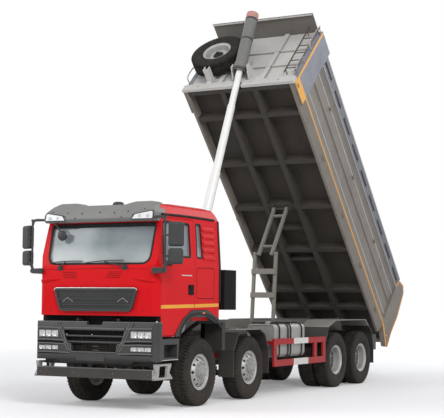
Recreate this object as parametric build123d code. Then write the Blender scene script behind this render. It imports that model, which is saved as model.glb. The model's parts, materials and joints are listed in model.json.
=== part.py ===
from build123d import *
from math import atan2, cos, degrees, hypot, radians, sin, tan
import os

# Four-axle dump truck (8x4) with its body raised, in millimetres.
# X is towards the truck's left, Y runs back from the nose to the tail, Z is up from the ground.
# Stations along Y are measured back from the first axle.  save() moves everything so that the
# origin lies under the middle of the truck's box, between its nose and the raised body's tail.

# ---------------------------------------------------------------- driving sizes: running gear
TYRE_RADIUS = 562.5
TYRE_WIDTH = 315.0
BEAD_RADIUS = 262.0
RIM_FLANGE_RADIUS = 300.0
FRONT_WHEEL_X = 1024.0
REAR_OUTER_X = 1090.0
TWIN_SPACING = 350.0
KINGPIN_X = 880.0
AXLE_Y = {"front_1": 0.0, "front_2": 1800.0, "rear_1": 5600.0, "rear_2": 6950.0}

# ---------------------------------------------------------------- driving sizes: chassis
RAIL_OUTER_X = 430.0
RAIL_FLANGE = 80.0
RAIL_WALL = 12.0
RAIL_BOTTOM_Z = 800.0
RAIL_TOP_Z = 1120.0
RAIL_FRONT_Y = -1120.0
RAIL_REAR_Y = 7950.0
SUBFRAME_TOP_Z = 1380.0
SUBFRAME_FRONT_Y = 1560.0
SUBFRAME_REAR_Y = 7600.0

# ---------------------------------------------------------------- driving sizes: cab
CAB_HALF_WIDTH = 1140.0
CAB_FRONT_Y = -1400.0
CAB_REAR_Y = 720.0
CAB_ROOF_Z = 3340.0
CAB_SKIRT_Z = 1170.0
CAB_WALL = 55.0
CAB_FLOOR_Z = 1500.0
CAB_FLOOR_THICKNESS = 90.0
CAB_PIVOT_Y = -1300.0
CAB_PIVOT_Z = 1420.0
DOOR_FRONT_Y = -1250.0
DOOR_REAR_Y = -175.0
DOOR_TOP_Z = 3080.0
SILL_Z = 2300.0
PANEL_GAP = 7.0
GLASS_THICKNESS = 6.0

# ---------------------------------------------------------------- driving sizes: dump body
TIP_ANGLE = 46.75
HINGE_Y = 7717.0
HINGE_Z = 1270.0
HINGE_PIN_RADIUS = 35.0
BED_HALF_WIDTH = 1250.0
BED_FLOOR_ABOVE_HINGE = 350.0
BED_UNDERSIDE_ABOVE_HINGE = 120.0
BED_SIDE_HEIGHT = 1530.0
BED_PILLAR_HEIGHT = 1660.0
BED_FRONT_FROM_HINGE = 6333.0
BED_SEAM_FROM_HINGE = -357.0
BED_PILLAR_DEPTH = 530.0
BED_WALL = 50.0
CANOPY_REACH = 440.0
TAILGATE_THICKNESS = 90.0
RUNNING_GAP = 6.0
PIN_CLEARANCE = 0.3

# ---------------------------------------------------------------- driving sizes: hoist, stabiliser
HOIST_BASE_Y = 1160.0
HOIST_BASE_Z = 950.0
TRUNNION_FROM_WALL = 235.0
TRUNNION_ABOVE_FLOOR = 190.0
COVER_RADIUS = 122.0
COVER_WALL = 12.0
COVER_ABOVE_TRUNNION = 1260.0
COVER_BELOW_TRUNNION = 130.0
HOIST_TUBES = (  # name, outer radius, wall, share of the whole stroke
    ("hoist_base", 100.0, 10.0, 0.0),
    ("hoist_stage_1", 88.0, 9.0, 0.304),
    ("hoist_stage_2", 77.0, 9.0, 0.290),
    ("hoist_rod", 66.0, 12.0, 0.406),
)
HOIST_BASE_TOP = 1990.0
HOIST_BASE_FOOT = -210.0
HOIST_STEP = 10.0
GLAND_LENGTH = 80.0
LINK_PIVOT_Y = 4640.0
LINK_PIVOT_Z = 1300.0
LINK_BED_FROM_HINGE = 3306.0
LINK_BED_ABOVE_HINGE = 30.0
LOWER_LINK_LENGTH = 1430.0
UPPER_LINK_LENGTH = LOWER_LINK_LENGTH - (LINK_PIVOT_Y - HINGE_Y + LINK_BED_FROM_HINGE)
LOWER_LINK_HALF = 241.0
UPPER_LINK_HALF = 146.0
LINK_TUBE = 60.0

MIRROR = (-1, 1)


# ---------------------------------------------------------------- small builders
def block(x, y, z):
    """A box between low and high values along each axis."""
    size = [high - low for low, high in (x, y, z)]
    middle = [(high + low) / 2 for low, high in (x, y, z)]
    return Pos(*middle) * Box(*size)


def prism_x(points, x_low, x_high):
    """A side outline of (y, z) points carried along X."""
    return extrude(Plane.YZ.offset(x_low) * Polygon(*points, align=None), x_high - x_low, (1, 0, 0))


def prism_y(points, y_low, y_high):
    """A front outline of (x, z) points carried along Y."""
    return extrude(Plane.XZ.offset(-y_low) * Polygon(*points, align=None), y_high - y_low, (0, 1, 0))


def prism_z(points, z_low, z_high):
    """A plan outline of (x, y) points carried up Z."""
    return extrude(Plane.XY.offset(z_low) * Polygon(*points, align=None), z_high - z_low, (0, 0, 1))


def rounded(table):
    """A flat face on XY whose outline turns each (a, b, radius) corner with an arc of that radius."""
    corners = [Vector(a, b) for a, b, _ in table]
    count = len(corners)
    turns = []
    for index, corner in enumerate(corners):
        back = (corners[index - 1] - corner).normalized()
        ahead = (corners[(index + 1) % count] - corner).normalized()
        half = radians(back.get_angle(ahead)) / 2
        radius = table[index][2]
        reach = radius / tan(half)
        bisector = (back + ahead).normalized() if radius else back
        middle = corner + bisector * (radius / sin(half) - radius)
        turns.append((corner + back * reach, middle, corner + ahead * reach, radius))
    edges = []
    for index, (enter, middle, leave, radius) in enumerate(turns):
        if radius:
            edges.append(Edge.make_three_point_arc(enter, middle, leave))
        edges.append(Edge.make_line(leave, turns[(index + 1) % count][0]))
    return Face(Wire(edges))


def along_x(table, x_low, x_high, grow=0.0):
    """A rounded side outline of (y, z, radius) corners, grown by grow and carried along X."""
    face = offset(rounded(table), grow) if grow else rounded(table)
    return extrude(Plane.YZ.offset(x_low) * face, x_high - x_low, (1, 0, 0))


def along_y(table, y_low, y_high, grow=0.0):
    """A rounded front outline of (x, z, radius) corners, grown by grow and carried along Y."""
    face = offset(rounded(table), grow) if grow else rounded(table)
    return extrude(Plane.XZ.offset(-y_low) * face, y_high - y_low, (0, 1, 0))


def along_z(table, z_low, z_high, grow=0.0):
    """A rounded plan outline of (x, y, radius) corners, grown by grow and carried along Z."""
    face = offset(rounded(table), grow) if grow else rounded(table)
    return extrude(Plane.XY.offset(z_low) * face, z_high - z_low, (0, 0, 1))


def rod_x(radius, x_low, x_high, y, z):
    """A round bar along X."""
    return Pos((x_low + x_high) / 2, y, z) * Rot(0, 90, 0) * Cylinder(radius, x_high - x_low)


def rod_y(radius, y_low, y_high, x, z):
    """A round bar along Y."""
    return Pos(x, (y_low + y_high) / 2, z) * Rot(90, 0, 0) * Cylinder(radius, y_high - y_low)


def rod_z(radius, z_low, z_high, x, y):
    """A round bar along Z."""
    return Pos(x, y, (z_low + z_high) / 2) * Cylinder(radius, z_high - z_low)


def turned_x(profile, x, y, z):
    """A (radius, offset) outline turned about an axis along X, offsets running along +X."""
    face = Plane.XZ * Polygon(*[(offset, radius) for radius, offset in profile], align=None)
    return Pos(x, y, z) * revolve(face, Axis.X)


def both_sides(piece):
    """The piece and its mirror image across the truck's middle plane."""
    return piece + mirror(piece, Plane.YZ)


def mirrored(piece):
    """The piece's mirror image across the truck's middle plane."""
    return mirror(piece, Plane.YZ)


# ---------------------------------------------------------------- wheels
def tyre(x, y, z):
    """A plain tyre: tread, two shoulders, two sidewalls and the bead."""
    half = TYRE_WIDTH / 2
    shoulder = TYRE_RADIUS - 28
    bulge = TYRE_RADIUS - 150
    bead_half = half - 45
    profile = (
        (BEAD_RADIUS + PIN_CLEARANCE, -bead_half), (RIM_FLANGE_RADIUS + 4, -bead_half), (bulge, -half),
        (shoulder, -half + 12), (TYRE_RADIUS, -half + 48), (TYRE_RADIUS, half - 48), (shoulder, half - 12),
        (bulge, half), (RIM_FLANGE_RADIUS + 4, bead_half), (BEAD_RADIUS + PIN_CLEARANCE, bead_half),
    )
    return turned_x(profile, x, y, z)


def rim_shell(side):
    """A rim's barrel with its two flanges, as (radius, offset) points; side is the outward sense."""
    half = TYRE_WIDTH / 2 - 45
    wall = 14.0
    lip = 16.0
    outer = [(RIM_FLANGE_RADIUS, -half - lip), (RIM_FLANGE_RADIUS, -half - 1), (BEAD_RADIUS, -half - 1),
             (BEAD_RADIUS, half + 1), (RIM_FLANGE_RADIUS, half + 1), (RIM_FLANGE_RADIUS, half + lip)]
    inner = [(BEAD_RADIUS - wall, half + lip), (BEAD_RADIUS - wall, -half - lip)]
    return [(radius, side * offset) for radius, offset in outer + inner]


def disc(side, dish, hub_radius, hub_reach):
    """A wheel disc with its round hub; dish is how far the disc lies outward of the rim's middle."""
    thickness = 16.0
    outer = BEAD_RADIUS - 10
    return [(0, side * dish), (outer, side * dish), (outer, side * (dish + thickness)),
            (hub_radius, side * (dish + thickness)), (hub_radius * 0.92, side * (dish + hub_reach)),
            (0, side * (dish + hub_reach))]


def front_wheel(x, y, side):
    """Rim, outset disc with ten hand holes and the hub; a blind bore takes the spindle."""
    body = turned_x(rim_shell(side), x, y, TYRE_RADIUS)
    body += turned_x(disc(side, 70, 150, 62), x, y, TYRE_RADIUS)
    back = side * (CHEEK_X + RUNNING_GAP - FRONT_WHEEL_X)
    body += turned_x([(0, back), (120, back), (120, side * 70), (0, side * 70)], x, y, TYRE_RADIUS)
    for turn in range(HAND_HOLES):
        angle = radians(360 / HAND_HOLES * turn)
        body -= rod_x(HAND_HOLE_RADIUS, x - 150, x + 150, y + HAND_HOLE_CIRCLE * cos(angle),
                      TYRE_RADIUS + HAND_HOLE_CIRCLE * sin(angle))
    reach = SPINDLE_END_X + PIN_CLEARANCE
    bore = rod_x(SPINDLE_RADIUS + PIN_CLEARANCE, KINGPIN_X, reach, y, TYRE_RADIUS)
    return body - (bore if side > 0 else mirrored(bore))


HAND_HOLES = 10
HAND_HOLE_RADIUS = 24.0
HAND_HOLE_CIRCLE = 205.0
SPINDLE_RADIUS = 50.0
SPINDLE_END_X = FRONT_WHEEL_X + 60
CHEEK_X = KINGPIN_X + 80


def rear_wheels(y, side):
    """Two rims back to back on one hub and drum, bored for the axle tube."""
    outer_x = side * REAR_OUTER_X
    inner_x = side * (REAR_OUTER_X - TWIN_SPACING)
    seat = TWIN_SPACING / 2 - 16
    body = turned_x(rim_shell(side), outer_x, y, TYRE_RADIUS)
    body += turned_x(rim_shell(side), inner_x, y, TYRE_RADIUS)
    body += turned_x(disc(side, -seat - 16, 140, 150), outer_x, y, TYRE_RADIUS)
    body += turned_x(disc(side, seat, 140, 16), inner_x, y, TYRE_RADIUS)
    for middle, reach in ((outer_x, -side), (inner_x, side)):
        body += turned_x([(BEAD_RADIUS - 14, reach * 100), (BEAD_RADIUS - 4, reach * 100),
                          (BEAD_RADIUS - 4, reach * (seat + 16)), (BEAD_RADIUS - 14, reach * (seat + 16))],
                         middle, y, TYRE_RADIUS)
    drum_low = side * (REAR_OUTER_X - TWIN_SPACING - 110)
    drum_high = side * (REAR_OUTER_X - TWIN_SPACING + seat)
    body += rod_x(200, min(drum_low, drum_high), max(drum_low, drum_high), y, TYRE_RADIUS)
    for turn in range(HAND_HOLES):
        angle = radians(360 / HAND_HOLES * turn)
        low, high = sorted((side * (REAR_OUTER_X - seat - 30), side * (REAR_OUTER_X - seat + 30)))
        body -= rod_x(HAND_HOLE_RADIUS, low, high, y + HAND_HOLE_CIRCLE * cos(angle),
                      TYRE_RADIUS + HAND_HOLE_CIRCLE * sin(angle))
    low, high = sorted((0.0, side * (AXLE_TUBE_END_X + PIN_CLEARANCE)))
    return body - rod_x(AXLE_TUBE_RADIUS + PIN_CLEARANCE, low, high, y, TYRE_RADIUS)


AXLE_TUBE_RADIUS = 62.0
AXLE_TUBE_END_X = REAR_OUTER_X - 60


# ---------------------------------------------------------------- axles, springs, drive line
def front_axles():
    """Two dropped beams; each end has an eye for the kingpin and a pad under each spring."""
    body = Part()
    for name in ("front_1", "front_2"):
        y = AXLE_Y[name]
        half = [(KINGPIN_X - 170, BEAM_LOW_Z), (KINGPIN_X - 85, EYE_LOW_Z), (KINGPIN_X, EYE_LOW_Z),
                (KINGPIN_X, EYE_HIGH_Z), (KINGPIN_X - 85, EYE_HIGH_Z), (KINGPIN_X - 190, BEAM_HIGH_Z)]
        beam = prism_y(half + [(-x, z) for x, z in half[::-1]], y - BEAM_HALF, y + BEAM_HALF)
        beam += both_sides(rod_z(EYE_RADIUS, EYE_LOW_Z, EYE_HIGH_Z, KINGPIN_X, y))
        beam -= both_sides(rod_z(KINGPIN_RADIUS + PIN_CLEARANCE, EYE_LOW_Z - 5, EYE_HIGH_Z + 5, KINGPIN_X, y))
        beam += both_sides(block((SPRING_X - 55, SPRING_X + 55), (y - 110, y + 110),
                                 (BEAM_HIGH_Z - 20, FRONT_SEAT_Z)))
        body += beam
    return body


BEAM_LOW_Z = 400.0
BEAM_HIGH_Z = 500.0
BEAM_HALF = 50.0
EYE_LOW_Z = 505.0
EYE_HIGH_Z = 620.0
EYE_RADIUS = 55.0
KINGPIN_RADIUS = 22.0
SPRING_X = 385.0
SPRING_WIDTH = 90.0
FRONT_SEAT_Z = 560.0
REAR_SEAT_Z = TYRE_RADIUS + 105


def rear_axles():
    """Two drive axles: a straight tube with a swollen middle for the final drive."""
    body = Part()
    for name in ("rear_1", "rear_2"):
        y = AXLE_Y[name]
        axle = rod_x(AXLE_TUBE_RADIUS, -AXLE_TUBE_END_X, AXLE_TUBE_END_X, y, TYRE_RADIUS)
        axle += rod_x(95, -560, 560, y, TYRE_RADIUS)
        axle += Pos(0, y, TYRE_RADIUS) * Sphere(DIFF_RADIUS)
        axle += rod_y(95, y - PINION_REACH, y, 0, SHAFT_Z)
        if name == "rear_1":
            axle += rod_y(75, y, y + PINION_REACH, 0, SHAFT_Z)
        body += axle
    return body


DIFF_RADIUS = 225.0
PINION_REACH = 330.0
SHAFT_Z = TYRE_RADIUS + 30


def leaf_spring(y, z, half_length, leaves, sweep, above):
    """A stack of leaves, each shorter than the one it lies on; above stacks the short ones on top."""
    thickness = 16.0
    body = Part()
    for index in range(leaves):
        half = half_length * (1 - 0.8 * index / leaves)
        low = z + index * thickness if above else z - index * thickness
        rise = sweep * half / half_length
        outline = [(y - half, low + rise), (y, low), (y + half, low + rise),
                   (y + half, low + rise + thickness),
                   (y, low + thickness), (y - half, low + rise + thickness)]
        body += prism_x(outline, SPRING_X - SPRING_WIDTH / 2, SPRING_X + SPRING_WIDTH / 2)
    return body


def leaf_springs():
    """One spring over each front axle and one long rocking pack over each side of the bogie."""
    body = Part()
    for name in ("front_1", "front_2"):
        y = AXLE_Y[name]
        stack = leaf_spring(y, FRONT_SEAT_Z + 80, 760, 6, 130, False)
        for end in MIRROR:
            stack += block((SPRING_X - 40, SPRING_X + 40), (y + end * 745 - 45, y + end * 745 + 45),
                           (770, RAIL_BOTTOM_Z))
        body += both_sides(stack)
    middle = (AXLE_Y["rear_1"] + AXLE_Y["rear_2"]) / 2
    reach = (AXLE_Y["rear_2"] - AXLE_Y["rear_1"]) / 2
    seat = REAR_SEAT_Z
    outline = [(middle - reach - 70, seat), (middle + reach + 70, seat), (middle + reach + 70, seat + 20),
               (middle + 260, seat + 130), (middle - 260, seat + 130), (middle - reach - 70, seat + 20)]
    pack = prism_x(outline, REAR_SPRING_X - 50, REAR_SPRING_X + 50)
    for end in MIRROR:
        pack += block((REAR_SPRING_X - 60, REAR_SPRING_X + 60),
                      (middle + end * reach - 80, middle + end * reach + 80),
                      (TYRE_RADIUS + 95, seat + 5))
    pack += block((RAIL_OUTER_X, REAR_SPRING_X + 50), (middle - 140, middle + 140),
                  (seat + 60, RAIL_BOTTOM_Z + 160))
    return body + both_sides(pack)


REAR_SPRING_X = 500.0


def drive_shafts():
    """Shafts from the gearbox to the first drive axle and on to the second."""
    shaft = rod_y(55, GEARBOX_REAR_Y, AXLE_Y["rear_1"] - PINION_REACH, 0, SHAFT_Z)
    link = rod_y(55, AXLE_Y["rear_1"] + PINION_REACH, AXLE_Y["rear_2"] - PINION_REACH, 0, SHAFT_Z)
    return shaft + link


GEARBOX_REAR_Y = 940.0


def engine_block():
    """The engine with its gearbox, as one plain mass between the rails, and the radiator before it."""
    engine = block((-ENGINE_HALF, ENGINE_HALF), (ENGINE_FRONT_Y, ENGINE_REAR_Y),
                   (ENGINE_LOW_Z, ENGINE_HIGH_Z))
    engine += block((-RADIATOR_HALF, RADIATOR_HALF), (RADIATOR_FRONT_Y, RADIATOR_REAR_Y),
                    (RADIATOR_LOW_Z, RADIATOR_HIGH_Z))
    engine += block((-SHROUD_HALF, SHROUD_HALF), (RADIATOR_REAR_Y - 10, ENGINE_FRONT_Y + 10),
                    (RADIATOR_LOW_Z + 50, RADIATOR_HIGH_Z - 45))
    gearbox = block((-GEARBOX_HALF, GEARBOX_HALF), (ENGINE_REAR_Y, GEARBOX_REAR_Y),
                    (TYRE_RADIUS - 40, GEARBOX_HIGH_Z))
    return engine + gearbox


ENGINE_HALF = 320.0
ENGINE_FRONT_Y = -700.0
ENGINE_REAR_Y = 480.0
ENGINE_LOW_Z = 640.0
ENGINE_HIGH_Z = 1360.0
RADIATOR_HALF = ENGINE_HALF + 20
RADIATOR_FRONT_Y = -980.0
RADIATOR_REAR_Y = -880.0
RADIATOR_LOW_Z = 830.0
RADIATOR_HIGH_Z = 1385.0
SHROUD_HALF = 250.0
GEARBOX_HALF = 230.0
GEARBOX_HIGH_Z = 960.0


# ---------------------------------------------------------------- steering knuckles
def knuckle(y, side):
    """A fork over the beam's eye with the wheel's spindle and a steering arm; pins fill the fork."""
    gap = RUNNING_GAP
    fork_x = KINGPIN_X
    low = block((fork_x - 45, fork_x + 75), (y - 50, y + 50), (EYE_LOW_Z - 60, EYE_LOW_Z - gap))
    high = block((fork_x - 45, fork_x + 75), (y - 50, y + 50), (EYE_HIGH_Z + gap, EYE_HIGH_Z + 60))
    cheek = block((fork_x + EYE_RADIUS + gap, CHEEK_X), (y - 50, y + 50), (EYE_LOW_Z - 60, EYE_HIGH_Z + 60))
    pin = rod_z(KINGPIN_RADIUS, EYE_LOW_Z - 60, EYE_HIGH_Z + 60, fork_x, y)
    spindle = rod_x(SPINDLE_RADIUS, fork_x + EYE_RADIUS + gap, SPINDLE_END_X, y, TYRE_RADIUS)
    arm = block((fork_x - 40, fork_x), (y - 230, y - 40), (EYE_LOW_Z - 56, EYE_LOW_Z - 26))
    body = low + high + cheek + pin + spindle + arm
    return body if side > 0 else mirrored(body)


# ---------------------------------------------------------------- chassis
def channel(side, z_low, z_high, y_low, y_high, outer_x, flange, wall):
    """A channel rail, open towards the truck's middle."""
    x = side * outer_x
    outline = [(x, z_low), (x, z_high), (x - side * flange, z_high), (x - side * flange, z_high - wall),
               (x - side * wall, z_high - wall), (x - side * wall, z_low + wall),
               (x - side * flange, z_low + wall), (x - side * flange, z_low)]
    return prism_y(outline, y_low, y_high)


CROSSMEMBER_Y = (-1060.0, 1560.0, 2700.0, 3900.0, 5000.0, 6275.0, 7880.0)


def chassis_frame():
    """Two channel rails with their crossmembers and the coupling plate at the tail."""
    body = Part()
    for side in MIRROR:
        body += channel(side, RAIL_BOTTOM_Z, RAIL_TOP_Z, RAIL_FRONT_Y, RAIL_REAR_Y, RAIL_OUTER_X, RAIL_FLANGE,
                        RAIL_WALL)
    inside = RAIL_OUTER_X - RAIL_WALL
    for y in CROSSMEMBER_Y:
        body += block((-inside, inside), (y - 60, y + 60), (RAIL_TOP_Z - 130, RAIL_TOP_Z - 40))
    plate_low = RAIL_BOTTOM_Z - 20
    body += block((-inside, inside), (RAIL_REAR_Y - 24, RAIL_REAR_Y), (plate_low, RAIL_TOP_Z))
    for x in MIRROR:
        for z in MIRROR:
            body -= rod_y(COUPLING_HOLE_RADIUS, RAIL_REAR_Y - 40, RAIL_REAR_Y + 10,
                          x * COUPLING_SPACING_X / 2,
                          COUPLING_Z + z * COUPLING_SPACING_Z / 2)
    body += both_sides(hoist_carrier())
    for y in (-450.0, 250.0):
        body += both_sides(block((ENGINE_HALF, inside + 5), (y - 60, y + 60), (860, 900)))
    body += tow_jaw()
    tower = prism_x([(RAIL_FRONT_Y + 60, RAIL_TOP_Z - 140), (RAIL_FRONT_Y + 60, RAIL_TOP_Z),
                     (CAB_PIVOT_Y + 20, CAB_PIVOT_Z - 60),
                     (CAB_PIVOT_Y + 34, CAB_PIVOT_Z), (CAB_PIVOT_Y + 20, CAB_PIVOT_Z + 28),
                     (CAB_PIVOT_Y - 20, CAB_PIVOT_Z + 28),
                     (CAB_PIVOT_Y - 34, CAB_PIVOT_Z), (CAB_PIVOT_Y - 20, CAB_PIVOT_Z - 70),
                     (RAIL_FRONT_Y, RAIL_TOP_Z - 140)],
                    TOWER_X, RAIL_OUTER_X - RAIL_WALL)
    tower += rod_x(CAB_PIN_RADIUS, TOWER_X - 62, TOWER_X + 2, CAB_PIVOT_Y, CAB_PIVOT_Z)
    body += both_sides(tower)
    return body


def tow_jaw():
    """A jaw of two plates behind the bumper's lower slot, bored for a drop pin."""
    half = TOW_LENGTH / 2
    jaw = block((-60, 60), (RAIL_FRONT_Y - 20, RAIL_FRONT_Y + 10), (TOW_Z - half, RAIL_TOP_Z - 40))
    for low, high in ((TOW_Z - half, TOW_Z - half + 20), (TOW_Z + half - 20, TOW_Z + half)):
        jaw += block((-60, 60), (TOW_Y - 45, RAIL_FRONT_Y), (low, high))
    return jaw - rod_z(TOW_BORE_RADIUS, TOW_Z - half - 5, TOW_Z + half + 5, TOW_X, TOW_Y)


TOW_X = 0.0
TOW_Y = -1335.0
TOW_Z = 965.0
TOW_LENGTH = 84.0
TOW_BORE_RADIUS = 20.0
TOWER_X = 370.0
CAB_PIN_RADIUS = 18.0


COUPLING_SPACING_X = 160.0
COUPLING_SPACING_Z = 100.0
COUPLING_HOLE_RADIUS = 10.5
COUPLING_Z = 900.0


def hoist_carrier():
    """A bracket on the rail that carries the hoist's lower pin."""
    arm = block((HOIST_EAR_X, RAIL_OUTER_X - RAIL_WALL), (HOIST_BASE_Y - 70, HOIST_BASE_Y + 70),
                (HOIST_BASE_Z - 60, HOIST_BASE_Z + 60))
    return arm - rod_x(HOIST_PIN_RADIUS + PIN_CLEARANCE, 0, HOIST_EAR_X + 70, HOIST_BASE_Y, HOIST_BASE_Z)


HOIST_PIN_RADIUS = 30.0
HOIST_EAR_X = 130.0


def sub_frame():
    """Box rails on the chassis rails, cross tubes, and ears with the body's hinge pin."""
    inner = RAIL_OUTER_X - SUBFRAME_WIDTH
    body = both_sides(block((inner, RAIL_OUTER_X), (SUBFRAME_FRONT_Y, SUBFRAME_REAR_Y),
                            (RAIL_TOP_Z, SUBFRAME_TOP_Z)))
    for y in SUBFRAME_CROSS_Y:
        body += block((-inner, inner), (y - 50, y + 50), (RAIL_TOP_Z, RAIL_TOP_Z + 90))
    low = HINGE_Z - 70
    ear = prism_x([(SUBFRAME_REAR_Y - 40, RAIL_TOP_Z), (HINGE_Y + 60, RAIL_TOP_Z), (HINGE_Y + 60, low),
                   (HINGE_Y + 35, HINGE_Z + 55), (HINGE_Y - 45, HINGE_Z + 70),
                   (SUBFRAME_REAR_Y - 40, SUBFRAME_TOP_Z - 5)],
                  RAIL_OUTER_X - 40, RAIL_OUTER_X)
    body += both_sides(ear)
    body += rod_x(HINGE_PIN_RADIUS, -RAIL_OUTER_X, RAIL_OUTER_X, HINGE_Y, HINGE_Z)
    carrier = block((LOWER_LINK_HALF + LINK_TUBE / 2 + RUNNING_GAP, inner),
                    (LINK_PIVOT_Y - 50, LINK_PIVOT_Y + 50),
                    (LINK_PIVOT_Z - 60, LINK_PIVOT_Z + 50))
    carrier -= rod_x(LINK_PIN_RADIUS + PIN_CLEARANCE, 0, inner - 15, LINK_PIVOT_Y, LINK_PIVOT_Z)
    body += both_sides(carrier)
    return body


SUBFRAME_WIDTH = 80.0
SUBFRAME_CROSS_Y = (1620.0, 2700.0, 5050.0, 6275.0, 7400.0)


def tanks():
    """Fuel tank on the left; a battery box and air bottles on the right."""
    tank = block((TANK_INNER_X, TANK_OUTER_X), (TANK_FRONT_Y, TANK_REAR_Y), (TANK_LOW_Z, TANK_HIGH_Z))
    tank = fillet(tank.edges().filter_by(Axis.Y), TANK_CORNER)
    for y in (TANK_FRONT_Y + TANK_BRACKET_IN, TANK_REAR_Y - TANK_BRACKET_IN):
        tank += block((RAIL_OUTER_X, TANK_INNER_X + 20), (y - 40, y + 40), (TANK_LOW_Z + 60, RAIL_TOP_Z - 60))
    box = block((-BATTERY_OUTER_X, -BATTERY_INNER_X), (TANK_FRONT_Y, TANK_FRONT_Y + BATTERY_LENGTH),
                (BATTERY_LOW_Z, BATTERY_HIGH_Z))
    box += block((-BATTERY_INNER_X, -RAIL_OUTER_X), (TANK_FRONT_Y + 140, TANK_FRONT_Y + BATTERY_LENGTH - 140),
                 (BOTTLE_Z + 50, BATTERY_HIGH_Z - 80))
    bottles = Part()
    for index in range(BOTTLE_COUNT):
        y = BOTTLE_FIRST_Y + BOTTLE_PITCH * index
        bottles += rod_x(BOTTLE_RADIUS, -BOTTLE_OUTER_X, -BOTTLE_INNER_X, y, BOTTLE_Z)
    last_y = BOTTLE_FIRST_Y + BOTTLE_PITCH * (BOTTLE_COUNT - 1)
    bottles += block((-BOTTLE_INNER_X - 40, -RAIL_OUTER_X), (BOTTLE_FIRST_Y - 120, last_y + 120),
                     (BOTTLE_Z + 50, BOTTLE_Z + 110))
    return tank + box + bottles


TANK_INNER_X = 620.0
TANK_OUTER_X = 1200.0
TANK_FRONT_Y = 2760.0
TANK_REAR_Y = 4080.0
TANK_LOW_Z = 700.0
TANK_HIGH_Z = 1320.0
TANK_CORNER = 90.0
TANK_BRACKET_IN = 250.0
BATTERY_INNER_X = 640.0
BATTERY_OUTER_X = 1180.0
BATTERY_LENGTH = 720.0
BATTERY_LOW_Z = 640.0
BATTERY_HIGH_Z = 1120.0
BOTTLE_COUNT = 3
BOTTLE_RADIUS = 125.0
BOTTLE_FIRST_Y = 3720.0
BOTTLE_PITCH = 300.0
BOTTLE_INNER_X = 560.0
BOTTLE_OUTER_X = 1150.0
BOTTLE_Z = 850.0


def side_guards():
    """Two rails and three uprights on each side, stood off the chassis by two arms."""
    outline_x = (GUARD_X - 40, GUARD_X)
    lowest, highest = GUARD_RAILS[0][0], GUARD_RAILS[-1][1]
    frame = Part()
    for low, high in GUARD_RAILS:
        frame += block(outline_x, (GUARD_FRONT_Y, GUARD_REAR_Y), (low, high))
    for y in (GUARD_FRONT_Y, GUARD_REAR_Y - 550, GUARD_REAR_Y - GUARD_UPRIGHT):
        frame += block(outline_x, (y, y + GUARD_UPRIGHT), (lowest, highest))
    for y in (GUARD_FRONT_Y + 20, GUARD_REAR_Y - 90):
        frame += block((RAIL_OUTER_X, GUARD_X - 35), (y, y + 30), (highest - 105, highest - 40))
    return both_sides(frame)


GUARD_X = 1245.0
GUARD_FRONT_Y = 2640.0
GUARD_REAR_Y = 5010.0
GUARD_UPRIGHT = 120.0
GUARD_RAILS = ((540.0, 660.0), (940.0, 1050.0))  # low z, high z


def mudguards():
    """A cranked guard over each rear bogie side and a smaller one behind each second front wheel."""
    inner, outer = BOGIE_GUARD_X
    middle = (AXLE_Y["rear_1"] + AXLE_Y["rear_2"]) / 2
    bogie = ribbon(BOGIE_GUARD, GUARD_SHEET, inner, outer)
    bogie += block((RAIL_OUTER_X, inner + 20), (middle - 125, middle + 125),
                   (RAIL_TOP_Z - 120, RAIL_TOP_Z - 60))
    bogie += block((inner - 20, inner + 20), (middle - 125, middle + 125),
                   (RAIL_TOP_Z - 120, BOGIE_GUARD[2][1] + 6))
    inner, outer = SECOND_GUARD_X
    stay_z = SECOND_GUARD[3][1]
    stay_y = AXLE_Y["front_2"] - 50
    second = ribbon(SECOND_GUARD, GUARD_SHEET, inner, outer)
    second += block((RAIL_OUTER_X, inner + 5), (stay_y - 50, stay_y + 50), (stay_z + 5, stay_z + 35))
    second += block((inner + 5, inner + 40), (stay_y - 50, stay_y + 50), (stay_z - 5, stay_z + 35))
    first = arch_trim() & block((0, OUTSIDE), (ARCH_SPLIT_Y + 2 * RUNNING_GAP, 2000),
                                (900, CAB_FLOOR_Z + 200))
    first += block((RAIL_OUTER_X, CAB_HALF_WIDTH - 320), (ARCH_FRONT + 110, ARCH_FRONT + 150),
                   (RAIL_TOP_Z - 60, RAIL_TOP_Z - 20))
    return both_sides(bogie) + both_sides(second) + both_sides(first)


GUARD_SHEET = 20.0
BOGIE_GUARD_X = (620.0, 1240.0)
BOGIE_GUARD = (  # y, z of the sheet from its front foot over the wheels and down to the flap
    (5060, 940), (5200, 1240), (5560, 1362), (7180, 1362), (7560, 1080), (7640, 760), (7640, 420))
SECOND_GUARD_X = (900.0, 1200.0)
SECOND_GUARD = (  # y, z of the sheet over the second axle
    (1135, 420), (1135, 880), (1330, 1180), (1500, 1230), (2120, 1230), (2330, 1140), (2480, 860),
    (2480, 430))


def ribbon(points, thickness, x_low, x_high):
    """A bent sheet that follows (y, z) points, with its thickness laid outward of them."""
    back = [(y, z + thickness) if index not in (0, len(points) - 1) else (y, z)
            for index, (y, z) in enumerate(points)]
    first, last = points[0], points[-1]
    outer = [(first[0] - thickness, first[1])]
    outer += [(y - thickness * (1 if z_next_higher(points, index) else -1), z + thickness * 0.7)
              for index, (y, z) in enumerate(points) if 0 < index < len(points) - 1]
    outer += [(last[0] + thickness, last[1])]
    return prism_x(list(points) + outer[::-1], x_low, x_high)


def z_next_higher(points, index):
    """True while the sheet still rises at this point."""
    return points[min(index + 1, len(points) - 1)][1] >= points[index][1] and index < len(points) / 2


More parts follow.
